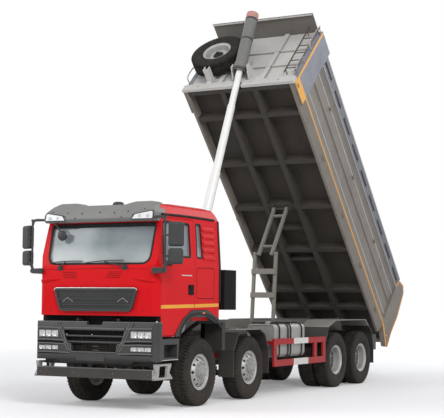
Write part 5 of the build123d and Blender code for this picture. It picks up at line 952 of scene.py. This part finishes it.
def make_visor():
    """Marker lamps in the visor's pockets, their dark surrounds and the visor's fasteners."""
    lamps, surrounds, dots = [], [], []
    for _, side in SIDES:
        face = rounded([(side * x, z) for x, z in VISOR_LAMP], 0.012)
        ahead = at_y(face, np.interp(face[:, 1], [3.06, 3.1, 3.14, 3.17], [-1.378, -1.374, -1.362, -1.348]))
        lamps.append((np.concatenate([ahead, ahead + np.array([0, 0.04, 0])]), tube_faces(2, len(face))))
        surrounds.append(ridge(ahead + np.array([0, 0.006, 0]), 0.02, 0.01, ring=True))
    piece("visor_lamps", lamps, "cab", lamp_white, bevel=0.004)
    bowl = [(0, 0.004), (0.02, 0.005), (0.026, 0.003), (0.026, 0.0), (0, 0.0)]
    bowls = [both(turned(bowl, (x, -1.3765, 3.083), 1, -1, 28)) for x in (0.8, 0.95)]
    piece("visor_lamp_bowls", bowls, "cab", lamp_lens, sharp=50)
    piece("visor_lamp_surrounds", surrounds, "cab", matt_plastic, sharp=60)
    head = [(0, 0.012), (0.01, 0.01), (0.013, 0.0), (0.013, -0.02), (0, -0.02)]
    for x, z in VISOR_FASTENERS:
        y = np.interp(z, [3.06, 3.13, 3.19, 3.335], [-1.366, -1.352, -1.318, -1.16])
        dots.append(turned(head, (x, y, z), 1, -1, 14))
    piece("visor_fasteners", dots, "cab", matt_plastic, sharp=60)


def on_mirror(part):
    """A part of the left mirror's heads turned rearward about the mirror's upright arm."""
    points, faces = part
    turn, arm = math.radians(28.0), np.array([1.29, -1.39, 0.0])
    x, y, z = (points - arm).T
    across, along = x * math.cos(turn) - y * math.sin(turn), x * math.sin(turn) + y * math.cos(turn)
    return np.stack([across, along, z], 1) + arm, faces


def make_mirrors():
    """Mirror glass at the back of each head, bent stays, the bracket's cap and the round front mirror."""
    glass, rims, inner, edge = [], [], 1.34, 0.022
    for low, high, width in ((2.59, 2.98, 0.25), (2.31, 2.56, 0.24)):
        face = rounded(rectangle((inner + edge, inner + width - edge), (low + edge, high - edge)), 0.028)
        glass.append(both(on_mirror(slab(face, "y", -1.341, -1.3365))))
        rims.append(both(on_mirror(ridge(at_y(face, -1.339), 0.012, 0.006, (0, 1, 0), True))))
    piece("mirror_glass", glass, "cab", mirror_silver)
    piece("mirror_glass_rims", rims, "cab", matt_plastic, sharp=60)
    stays = [both(pipe([(1.06, -1.375, 2.215), (1.16, -1.395, 2.215), (1.26, -1.392, 2.235),
                        (1.3, -1.39, 2.3),
                        (1.345, -1.392, 2.36)], 0.024, 12)),
             both(pipe([(1.085, -1.365, 3.06), (1.2, -1.392, 3.062), (1.265, -1.392, 3.045),
                        (1.292, -1.39, 2.985)], 0.022, 12)),
             both(slab(rounded([(1.065, 2.165), (1.065, 2.262), (1.275, 2.255), (1.285, 2.175)], 0.025), "y",
                       -1.425, -1.352))]
    piece("mirror_stays", stays, "cab", matt_plastic, bevel=0.004, sharp=50)
    x, z = -0.735, 2.8
    y = float(nose_y(z)) - 0.085
    dish = [(0, 0.03), (0.05, 0.026), (0.082, 0.01), (0.09, -0.008), (0.086, -0.02), (0, -0.022)]
    arm = [(x - 0.02, y + 0.01, z + 0.05), (x - 0.1, y - 0.02, z + 0.16), (x - 0.16, y + 0.02, 2.99),
           (x - 0.18, -1.2, 3.02)]
    piece("front_mirror", [turned(dish, (x, y, z), 1, -1, 36), pipe(arm, 0.011, 8)], "cab", matt_plastic,
          sharp=50)


def make_cab_inside():
    """The steering wheel's spokes, and curtains whose depth is a sine along them, seen through the glass."""
    middle, reach, lean = np.array([0.52, -0.87, 2.19]), 0.2, math.radians(40)
    spokes = []
    for angle in (math.radians(90), math.radians(210), math.radians(330)):
        tip = (math.cos(angle), math.sin(angle) * math.cos(lean), math.sin(angle) * math.sin(lean))
        spokes.append(pipe([middle, middle + reach * np.array(tip)], 0.012, 8, 2))
    piece("steering_spokes", spokes, "cab", matt_plastic)
    count, curtains = 60, []
    y = np.linspace(0.02, 0.62, count)
    for side in (1, -1):
        x = side * (0.93 + 0.018 * np.sin(y * 105))
        low, high = (np.stack([x, y, np.full(count, z)], 1) for z in (2.3, 3.08))
        behind = np.array([side * 0.006, 0, 0])
        ends = (np.arange(4) * count)[None]
        curtains.append((np.concatenate([low, high, high - behind, low - behind]),
                         [grid_faces(4, count, True), ends, (ends + count - 1)[:, ::-1]]))
    piece("bunk_curtains", curtains, "cab", curtain_cloth, sharp=80)


def coordinates(made):
    """The mesh's points as one array."""
    flat = np.empty(len(made.data.vertices) * 3, np.float32)
    made.data.vertices.foreach_get("co", flat)
    return flat.reshape(-1, 3).astype(float)


def apply_modifiers(made):
    """The mesh as its modifiers leave it, with none left on the object."""
    result = bpy.data.meshes.new_from_object(made.evaluated_get(bpy.context.evaluated_depsgraph_get()))
    made.modifiers.clear()
    made.data = result


def swell(made, middle, crown, channels):
    """The block remeshed and blown up as cloth for 15 frames. Each point's move is capped at crown, and
    sewn channels across x are then pressed in: 10 mm deep, falling off as a bell curve."""
    remesh = made.modifiers.new("voxels", "REMESH")
    remesh.mode, remesh.voxel_size = "VOXEL", 0.012
    apply_modifiers(made)
    start = coordinates(made)
    cloth = made.modifiers.new("swell", "CLOTH")
    cloth.settings.use_pressure = True
    cloth.settings.uniform_pressure_force = 4.0
    cloth.settings.effector_weights.gravity = 0.0
    for step in range(1, 16):
        bpy.context.scene.frame_set(step)
    apply_modifiers(made)
    bpy.context.scene.frame_set(1)
    moved = coordinates(made) - start
    length = np.linalg.norm(moved, axis=1, keepdims=True)
    put = start + moved * np.minimum(1.0, crown / np.maximum(length, 1e-9))
    for place in channels:
        across = put[:, 0] - place
        inward = on_truck(middle) - put
        inward /= np.linalg.norm(inward, axis=1, keepdims=True)
        put = put + inward * (0.01 * np.exp(-(across / 0.01) ** 2))[:, None]
    made.data.vertices.foreach_set("co", put.astype(np.float32).ravel())
    made.data.update()
    made.data.polygons.foreach_set("use_smooth", np.ones(len(made.data.polygons), bool))
    soft = made.modifiers.new("soften", "SUBSURF")
    soft.levels = soft.render_levels = 1


def padded_seat(name, low, high, crown, channels):
    """A cushion: a block 20 mm smaller all round, as a tube of square rings, swollen as cloth."""
    low, high = np.array(low), np.array(high)
    middle, half = (low + high) / 2, (high - low) / 2 - 0.02
    u, one = np.linspace(-1, 1, 9), np.ones(9)
    sides = ((u, -one), (one, u), (-u, one), (-one, -u))
    ring = np.concatenate([np.stack(pair, 1)[bool(index):9 - (index == 3)] for index,
                           pair in enumerate(sides)])
    levels = np.linspace(-1, 1, 7)
    grid = np.concatenate([np.column_stack([ring, np.full(len(ring), level)]) for level in levels])
    made = piece(name, [(middle + grid * half, tube_faces(len(levels), len(ring)))], "cab", seat_cloth,
                 sharp=80)
    swell(made, middle, crown, channels)


def make_seats():
    """Two seats, each a cushion, a back and a headrest, the bunk's mattress, and the frames below."""
    frames = []
    for name, x in (("left", 0.52), ("right", -0.52)):
        seams = (x - 0.1, x + 0.1)
        padded_seat(f"seat_cushion_{name}", (x - 0.25, -0.71, 1.785), (x + 0.25, -0.22, 1.925), 0.022, seams)
        padded_seat(f"seat_back_{name}", (x - 0.245, -0.19, 1.83), (x + 0.245, -0.07, 2.45), 0.022, seams)
        padded_seat(f"seat_headrest_{name}", (x - 0.15, -0.185, 2.47), (x + 0.15, -0.075, 2.62), 0.018, ())
        for half, y, z in ((0.18, (-0.64, -0.22), (1.5, 1.785)), (0.06, (-0.23, -0.15), (1.76, 1.88)),
                           (0.2, (-0.12, -0.075), (1.86, 2.4)), (0.02, (-0.14, -0.12), (2.36, 2.52))):
            frames.append(box((x - half, x + half), y, z))
    padded_seat("bunk_mattress", (-0.88, 0.14, 1.8), (0.88, 0.62, 1.93), 0.022, (-0.44, 0.0, 0.44))
    frames.append(box((-0.9, 0.9), (0.12, 0.64), (1.5, 1.8)))
    piece("seat_bases", frames, "cab", matt_plastic, bevel=0.01, swaps=["seats"])


# ---------------------------------------------------------------- bumper and what hangs below
BUMPER_Y = -1.44


def on_bumper(path, width=0.022, height=0.01):
    """A ridge along a path (x, z) on the bumper's face."""
    return ridge([(x, BUMPER_Y, z) for x, z in path], width, height)


def make_bumper():
    """Dark strips painted as shadows under the ridges, lamp bowls, pale ridges, slant lines and edges as
    painted highlights, the bare plate, the grille's mesh and tread strips.
    """
    slants = []
    for x in (0.45, 0.495):
        slants.append(both(on_bumper([(x + 0.245, 1.385), (x + 0.025, 0.955), (x, 0.915)], 0.02, 0.009)))
    piece("bumper_slant_lines", slants, "chassis", highlight_edge_plastic, sharp=50)
    # Black strips just below the bumper's ridges: painted shadows of the ridges.
    high = [(0.585, 1.04), (0.6, 1.082), (1.105, 1.082), (1.105, 1.04)]
    low = [(0.5, 0.868), (0.515, 0.884), (1.105, 0.884), (1.105, 0.868)]
    grooves = [both(slab(outline, "y", BUMPER_Y - 0.002, BUMPER_Y + 0.01)) for outline in (high, low)]
    grooves.append(slab(rectangle((-0.43, 0.43), (0.893, 0.904)), "y", BUMPER_Y - 0.002, BUMPER_Y + 0.01))
    piece("bumper_groove_shadows", grooves, "chassis", black_plastic)
    edges = [box((-half, half), (-1.4195, -1.412), (low, low + 0.0085))
             for half, low in ((0.588, 1.166), (0.563, 1.07))]
    piece("opening_bar_edges", edges, "chassis", highlight_edge_plastic)
    piece("radiator_side_shields", [both(box((0.345, 0.82), (-1.0, -0.99), (0.8, 1.36)))], "chassis",
          black_plastic, bevel=0.002)
    ridges = [both(on_bumper([(near, z - 0.01), ((near + 1.1) / 2, z), (1.1, z)]))
              for z, near in ((1.292, 0.62), (1.095, 0.6), (1.035, 0.56), (0.895, 0.46))]
    ridges.append(on_bumper([(-0.585, 1.285), (0.585, 1.285)], 0.03, 0.009))
    opening = [(-0.6, 1.255), (-0.545, 1.05), (-0.455, 1.03), (-0.432, 0.905)]
    ridges.append(on_bumper(opening + [(-x, z) for x, z in opening[::-1]], 0.02))
    piece("bumper_ridges", ridges, "chassis", highlight_edge_plastic, sharp=50)
    plate = slab(rounded(rectangle((-0.336, 0.206), (0.765, 0.885)), 0.01), "y", BUMPER_Y - 0.004,
                 BUMPER_Y + 0.004)
    piece("bare_number_plate", [plate], "chassis", matt_plastic, bevel=0.002)
    bezels, bowls, dividers = [], [], []
    for low, high, centres, radius in ((1.13, 1.26, (0.775, 0.885, 0.995), 0.048),
                                       (0.925, 1.01, (0.77, 0.865, 0.96, 1.045), 0.032)):
        edge = rounded(rectangle((0.692, 1.093), (low + 0.002, high - 0.002)), 0.014)
        bezels.append(both(ridge(at_y(edge, BUMPER_Y + 0.004), 0.016, 0.008, ring=True)))
        bowl = [(0, -0.001), (radius * 0.35, 0.001), (radius * 0.42, 0.006), (radius * 0.55, 0.001),
                (radius * 0.9, 0.004), (radius, 0.009), (radius * 1.06, 0.009), (radius * 1.08, -0.004),
                (0, -0.004)]
        bowls += [both(turned(bowl, (x, BUMPER_Y + 0.0085, (low + high) / 2), 1, -1, 32)) for x in centres]
        dividers += [both(box((x, x + 0.008), (-1.438, -1.43), (low + 0.012, high - 0.012)))
                     for x in (0.822, 0.954)]
    piece("lamp_bezels", bezels, "chassis", matt_plastic, sharp=50)
    piece("lamp_bowls", bowls, "chassis", bright_metal, sharp=40)
    piece("lamp_dividers", dividers, "chassis", trim_plastic)
    bars = [box((x, x + 0.006), (-1.372, -1.366), (0.915, 1.25)) for x in np.arange(-0.563, 0.558, 0.035)]
    bars += [box((-0.58, 0.58), (-1.374, -1.37), (z, z + 0.006)) for z in np.arange(0.927, 1.247, 0.035)]
    piece("bumper_mesh", bars, "chassis", sooty_steel)
    piece("step_treads", [both(box((0.955, 1.162), (-1.235, -0.72), (0.7905, 0.8)))], "chassis", bright_metal,
          bevel=0.002)
    stud = turned([(0, 0.006), (0.008, 0.006), (0.011, 0.0), (0.011, -0.002), (0, -0.002)], (0, 0, 0), 2, 1,
                  8)
    places = [(x, y, 0.8) for y in np.arange(-1.21, -0.73, 0.045) for x in (1.0, 1.045, 1.09, 1.135)]
    piece("step_studs", [both(stamp(stud, places))], "chassis", bright_metal, sharp=50)
    lip = [box((-1.108, 1.108), (-1.443, -1.424), (0.64, 0.658))]
    lip += [turned([(0, 0.01), (0.012, 0.008), (0.014, 0.0), (0, 0.0)], (x, -1.44, 0.575), 1, -1, 6)
            for x in (-1.04, -0.38, 0.38, 1.04)]
    piece("underrun_lip", lip, "chassis", highlight_edge_plastic, bevel=0.002)
    flanges = [both(box((1.108, 1.16), (-1.449, -0.891), (0.4925, 0.5))),
               both(box((1.108, 1.16), (-1.405, -0.931), (0.732, 0.74)))]
    piece("underrun_end_flanges", flanges, "chassis", tank_metal, bevel=0.002)
    collar = [(0.021, 0.0), (0.034, 0.0), (0.034, 0.006), (0.021, 0.006)]
    piece("tow_pin_collar", [turned(collar, (0, -1.335, 1.008), 2, 1, 28, closed=True)], "chassis",
          sooty_steel)


def make_chassis_details():
    """Rail bolts, tank straps and cap, air lines, bottle bands, the battery's lid and the lamps' lenses."""
    bolt = [(0, 0.016), (0.01, 0.016), (0.0125, 0.012), (0.0125, 0.003), (0.019, 0.003), (0.019, -0.001),
            (0, -0.001)]
    stations = (-1.0, -0.78, 0.78, 1.05, 1.56, 2.56, 2.7, 2.84, 3.9, 4.98, 5.1, 6.1, 6.27, 6.44, 7.3, 7.6,
                7.85)
    places = [(0.43, y, z) for y in stations for z in (0.85, 0.93, 1.0, 1.07)]
    piece("rail_bolts", [both(stamp(turned(bolt, (0, 0, 0), 0, 1, 6), places))], "chassis", sooty_steel,
          sharp=50)
    strap, tank_z = rectangle((-0.028, 0.028), (-0.001, 0.005)), 1.01
    above = [(0.64, 0.3105), (1.1, 0.3105), (1.165, 0.292), (1.19, 0.26), (1.2005, 0.21)]
    round_it = [(x, tank_z + z) for x, z in above] + [(x, tank_z - z) for x, z in above[::-1]]
    straps = [carried(strap, [(x, y, z) for x, z in round_it], (0, 1, 0)) for y in (2.93, 3.3, 3.42, 3.92)]
    piece("tank_straps", straps, "chassis", sooty_steel, sharp=40)
    filler = (0.95, 2.98, 1.319)
    cap = [turned([(0, 0.048), (0.045, 0.046), (0.052, 0.036), (0.052, 0.0), (0, 0.0)], filler, 2, 1, 28),
           turned([(0.058, 0.012), (0.07, 0.01), (0.072, 0.0), (0.058, 0.0)], filler, 2, 1, 28, closed=True)]
    piece("tank_cap", cap, "chassis", bare_metal, sharp=40)
    face = rounded(rectangle((0.635, 1.185), (0.715, 1.305)), 0.085, 8)
    seams = [ridge(at_y(face, y), 0.024, 0.01, (0, sense, 0), True) for y, sense in ((2.76, -1), (4.08, 1))]
    seams += [ridge([(1.2, y, 0.8), (1.2, y, 1.22)], 0.03, 0.004, OUTWARD) for y in (3.1, 3.62, 3.76)]
    piece("tank_seams", seams, "chassis", tank_metal, sharp=50)
    hoses = (
        (0.012, 8, [(0.46, -0.2, 1.1), (0.455, 0.9, 1.06), (0.46, 2.0, 1.09), (0.455, 3.4, 1.08),
                    (0.46, 4.8, 1.09)]),
        (0.038, 12, [(0.47, 0.55, 1.12), (0.6, 0.72, 1.3), (0.72, 0.83, 1.42), (0.8, 0.86, 1.6)]),
        (0.014, 8, [(-0.46, 0.6, 1.05), (-0.455, 2.0, 1.07), (-0.46, 3.5, 1.05), (-0.455, 5.0, 1.07),
                    (-0.46, 6.6, 1.06)]),
        (0.016, 8, [(0.4, -0.7, 1.16), (0.48, -0.55, 1.25), (0.5, -0.2, 1.24), (0.46, 0.1, 1.14)]),
    )
    piece("air_lines", [pipe(corners, radius, count, 8) for radius, count, corners in hoses], "chassis",
          black_rubber,
          sharp=60)
    band, bands = rectangle((0.1245, 0.13), (-0.016, 0.016)), []
    end = [(0, 0.01), (0.05, 0.008), (0.1, 0.0), (0, -0.002)]
    for y in (3.72, 4.02, 4.32):
        bands += [turned(band, (x, y, 0.85), 0, 1, 40, closed=True) for x in (-0.72, -1.0)]
        bands.append(turned(end, (-1.151, y, 0.85), 0, -1, 32))
    piece("air_bottle_bands", bands, "chassis", sooty_steel, sharp=50)
    lid = [box((-1.186, -0.634), (2.754, 3.486), (1.112, 1.132))]
    lid += [box((-1.188, -1.178), (2.8, 3.44), (z, z + 0.05)) for z in (0.72, 0.84, 0.96)]
    piece("battery_lid", lid, "chassis", trim_plastic, bevel=0.008)
    for name, low, high, finish in (("tail_lamps", 0.64, 0.86, red_lens),
                                    ("rear_indicators", 0.87, 1.0, amber_lens),
                                    ("reversing_lamps", 1.01, 1.16, lamp_white)):
        lens = slab(rounded(rectangle((low, high), (0.745, 0.985)), 0.012), "y", 7.958, 7.972)
        piece(name, [both(lens)], "chassis", finish, bevel=0.004)
    grille = [box((1.186, 1.193), (0.83, 1.16), (z, z + 0.014)) for z in np.arange(1.64, 2.24, 0.045)]
    piece("intake_grille", grille, "chassis", black_plastic, bevel=0.002)
    piece("intake_rear_marker", [box((0.98, 1.17), (1.208, 1.216), (1.64, 1.95))], "chassis", red_lens,
          bevel=0.004)


# ---------------------------------------------------------------- dump body
def make_dump_body():
    """Coloured strips, hooks, corner ribs, latch pins and edge beads of the body and its gate; the ribs and
    beads are pale as painted highlights, and dark slabs in the slots are painted shadows.
    """
    front, rear, side = BED_FRONT, BED_REAR, BED_SIDE

    def put(name, parts, finish, body="dump_body", **more):
        piece(name, parts, body, finish, on_bed, **more)

    def along(y, z, inset, width, height):
        return both(ridge([(side - inset, y[0], z[0]), (side - inset, y[1], z[1])], width, height, OUTWARD))

    strips = ((0.0025, rectangle((front + 0.53, rear), (0.002, 0.046))),
              (0.003, rectangle((front + 0.004, front + 0.058), (0.06, 1.64))),
              (0.003, rectangle((front + 0.004, front + 0.525), (-0.19, 0.05))),
              (0.003, [(rear, 0.046), (rear + 0.05, 0.046), (rear + 0.46, -0.165), (rear + 0.46, -0.215),
                       (rear, -0.015)]))
    put("body_yellow_strips", [both(slab(outline, "x", side - 0.002, side + thick)) for thick,
                               outline in strips],
        stripe_yellow)
    path = ((-0.065, 1.23), (0.03, 1.46), (0.26, 1.56), (0.39, 1.44), (0.495, 0.77), (0.48, 0.24),
            (0.536, -0.165))
    edge = carried(rectangle((-0.022, 0.022), (-0.006, 0.004)),
                   [(side - 0.001, rear + y, z) for y, z in path], OUTWARD)
    put("body_rear_orange_edge", [both(edge)], stripe_orange, sharp=60)
    hook = ((-0.01, -0.05, -0.075), (0.012, -0.03, -0.115), (0.012, 0.03, -0.115), (-0.01, 0.05, -0.075))
    hooks = [both(pipe([(side + out, place + y, z) for out, y, z in hook], 0.009, 8, 5))
             for place in (-6.2, -4.4, -2.9, -1.5, -0.2)]
    hooks += [both(box((side - 0.05, side - 0.008), (y, y + 0.06), (0.92, 0.985)))
              for y in (-4.93, -3.13, -1.33)]
    put("body_rope_hooks", hooks, body_paint, sharp=50)
    ends = (front + 0.53, rear - 0.05)
    beads = [both(box((side - 0.052, side - 0.03), (y, y + 0.024), (0.2, 1.14))) for y in (-5.802, 0.318)]
    beads += [along(ends, (z, z), 0.0445, 0.026, 0.008) for z in (0.3, 0.97)]
    beads += [along(ends, (z, z), 0, 0.02, 0.005) for z in (1.2, 1.5)]
    # The beads and corner ribs are painted pale as highlights.
    put("body_side_beads", beads, highlight_bead_paint, sharp=50)
    slots = [both(box((side - 0.038, side - 0.0345), (y, y + 0.45), (1.301, 1.384)))
             for y in front + 0.545 + 0.7 * np.arange(9)]
    put("body_slot_shadows", slots, slot_dark)
    seams = [along((y, y), (0.22, 1.12), 0.0448, 0.014, 0.003) for y in (-5.2, -4.05, -2.9, -1.75, -0.6)]
    put("body_weld_seams", seams, body_paint)
    rails = []
    for low, high in ((0.1, 0.5), (0.95, 1.58)):
        corners = ((0.005, low), (0.15, low + 0.02), (0.15, high - 0.02), (0.005, high))
        rail = pipe([(1.225, front - ahead, z) for ahead, z in corners], 0.012, 8, 5)
        rails.append(both(rail) if high == 0.5 else rail)
    corners = ((0.02, 0.03), (0.08, 0.2), (0.16, 0.22), (0.17, 0.42))
    rails.append(pipe([(0.16, front - ahead, z) for ahead, z in corners], 0.016, 8, 6))
    put("front_wall_grab_rails", rails, bare_metal, sharp=60)
    lips = [box((-1.25, 1.25), (front - 0.066, front - 0.058), (-0.105, -0.06)),
            both(box((0.995, 1.205), (front - 0.05, front + 0.002), (-0.055, -0.03)))]
    for x in (-0.9, -0.3, 0.3, 0.9):
        loop = [(x - 0.03, front - 0.06, -0.13), (x, front - 0.09, -0.15), (x + 0.03, front - 0.06, -0.13)]
        lips.append(pipe(loop, 0.007, 6, 4))
    put("front_beam_lip", lips, wall_paint, sharp=50)
    cradle = [box(x, (front - 0.34, front - 0.055), (0.02, top))
              for x, top in (((-0.765, -0.645), 0.045), ((-0.765, -0.745), 0.14), ((-0.665, -0.645), 0.14))]
    put("spare_cradle", cradle, wall_paint, bevel=0.003)
    caps = (([(0, 0.02), (0.03, 0.018), (0.034, 0.0), (0, 0.0)], (side, rear + 0.32, 1.465)),
            ([(0, 0.03), (0.026, 0.028), (0.03, 0.0), (0, 0.0)], (side, rear + 0.3, -0.05)))
    put("gate_pin_caps", [both(turned(outline, place, 0, 1, 24)) for outline, place in caps], bare_metal,
        sharp=50)
    y = rear + 0.392
    bars = [both(box((x - 0.23, x + 0.23), (y + 0.029, y + 0.036), (0.66, 0.7))) for x in (0.28, 0.83)]
    bars.append(both(box((0.86, 1.04), (y + 0.09, y + 0.096), (0.1, 0.22))))
    put("gate_bars", bars, body_paint, "tailgate", bevel=0.003)
    marks = []
    for low in (x + step for x in (-0.88, -0.29, 0.29, 0.88) for step in (-0.2, -0.06, 0.08)):
        leaning = [(low, 0.02), (low + 0.07, 0.02), (low + 0.12, 0.12), (low + 0.05, 0.12)]
        marks.append(slab(leaning, "y", y + 0.0905, y + 0.0945))
    put("gate_marker_strips", marks, stripe_orange, "tailgate")


# ---------------------------------------------------------------- hoist
HOIST_REACH = 5.997224
HOIST_LEAN = math.radians(24.112445)


def on_hoist(points):
    """Points along the upright hoist, z from its foot, leaned back to the raised place."""
    x, y, z = points.T
    return on_truck(np.stack([x, y * math.cos(HOIST_LEAN) + z * math.sin(HOIST_LEAN) + 1.16,
                              -y * math.sin(HOIST_LEAN) + z * math.cos(HOIST_LEAN) + 0.95], 1))


def make_hoist():
    """Cap, gland rings and cap bolts of the telescoping hoist."""
    top = HOIST_REACH + 1.26
    cap = [(0, 0.032), (0.06, 0.032), (0.11, 0.028), (0.1235, 0.018), (0.125, 0.0), (0.125, -0.095),
           (0.1225, -0.098), (0.1215, -0.09), (0.1215, 0.0), (0, 0.0)]
    piece("hoist_cap", [turned(cap, (0, 0, top), 2, 1, 48)], "hoist_rod", cap_red, on_hoist, sharp=40)
    rings = []
    for down, radius in ((0.13, 0.124), (1.3, 0.128), (1.36, 0.131), (0.62, 0.1235)):
        ring = [(0.11, -0.018), (radius, -0.018), (radius + 0.003, -0.012), (radius + 0.003, 0.012),
                (radius, 0.018),
                (0.11, 0.018)]
        rings.append(turned(ring, (0, 0, top - down), 2, 1, 56, closed=True))
    piece("hoist_cover_rings", rings, "hoist_rod", matt_plastic, on_hoist, sharp=40)
    bolts = []
    for angle in np.arange(8) * math.pi / 4:
        centre = (0.08 * math.cos(angle), 0.08 * math.sin(angle), top - 0.004)
        bolts.append(turned([(0, 0.034), (0.007, 0.034), (0.008, 0.018), (0, 0.018)], centre, 2, 1, 6))
    piece("hoist_cap_bolts", bolts, "hoist_rod", bare_metal, on_hoist)


make_wheels()
make_spare()
make_cab_sides()
make_cab_front()
make_visor()
make_mirrors()
make_cab_inside()
make_seats()
make_bumper()
make_chassis_details()
make_dump_body()
make_hoist()
place_camera()
place_floor()
place_lights()
dress_cad()
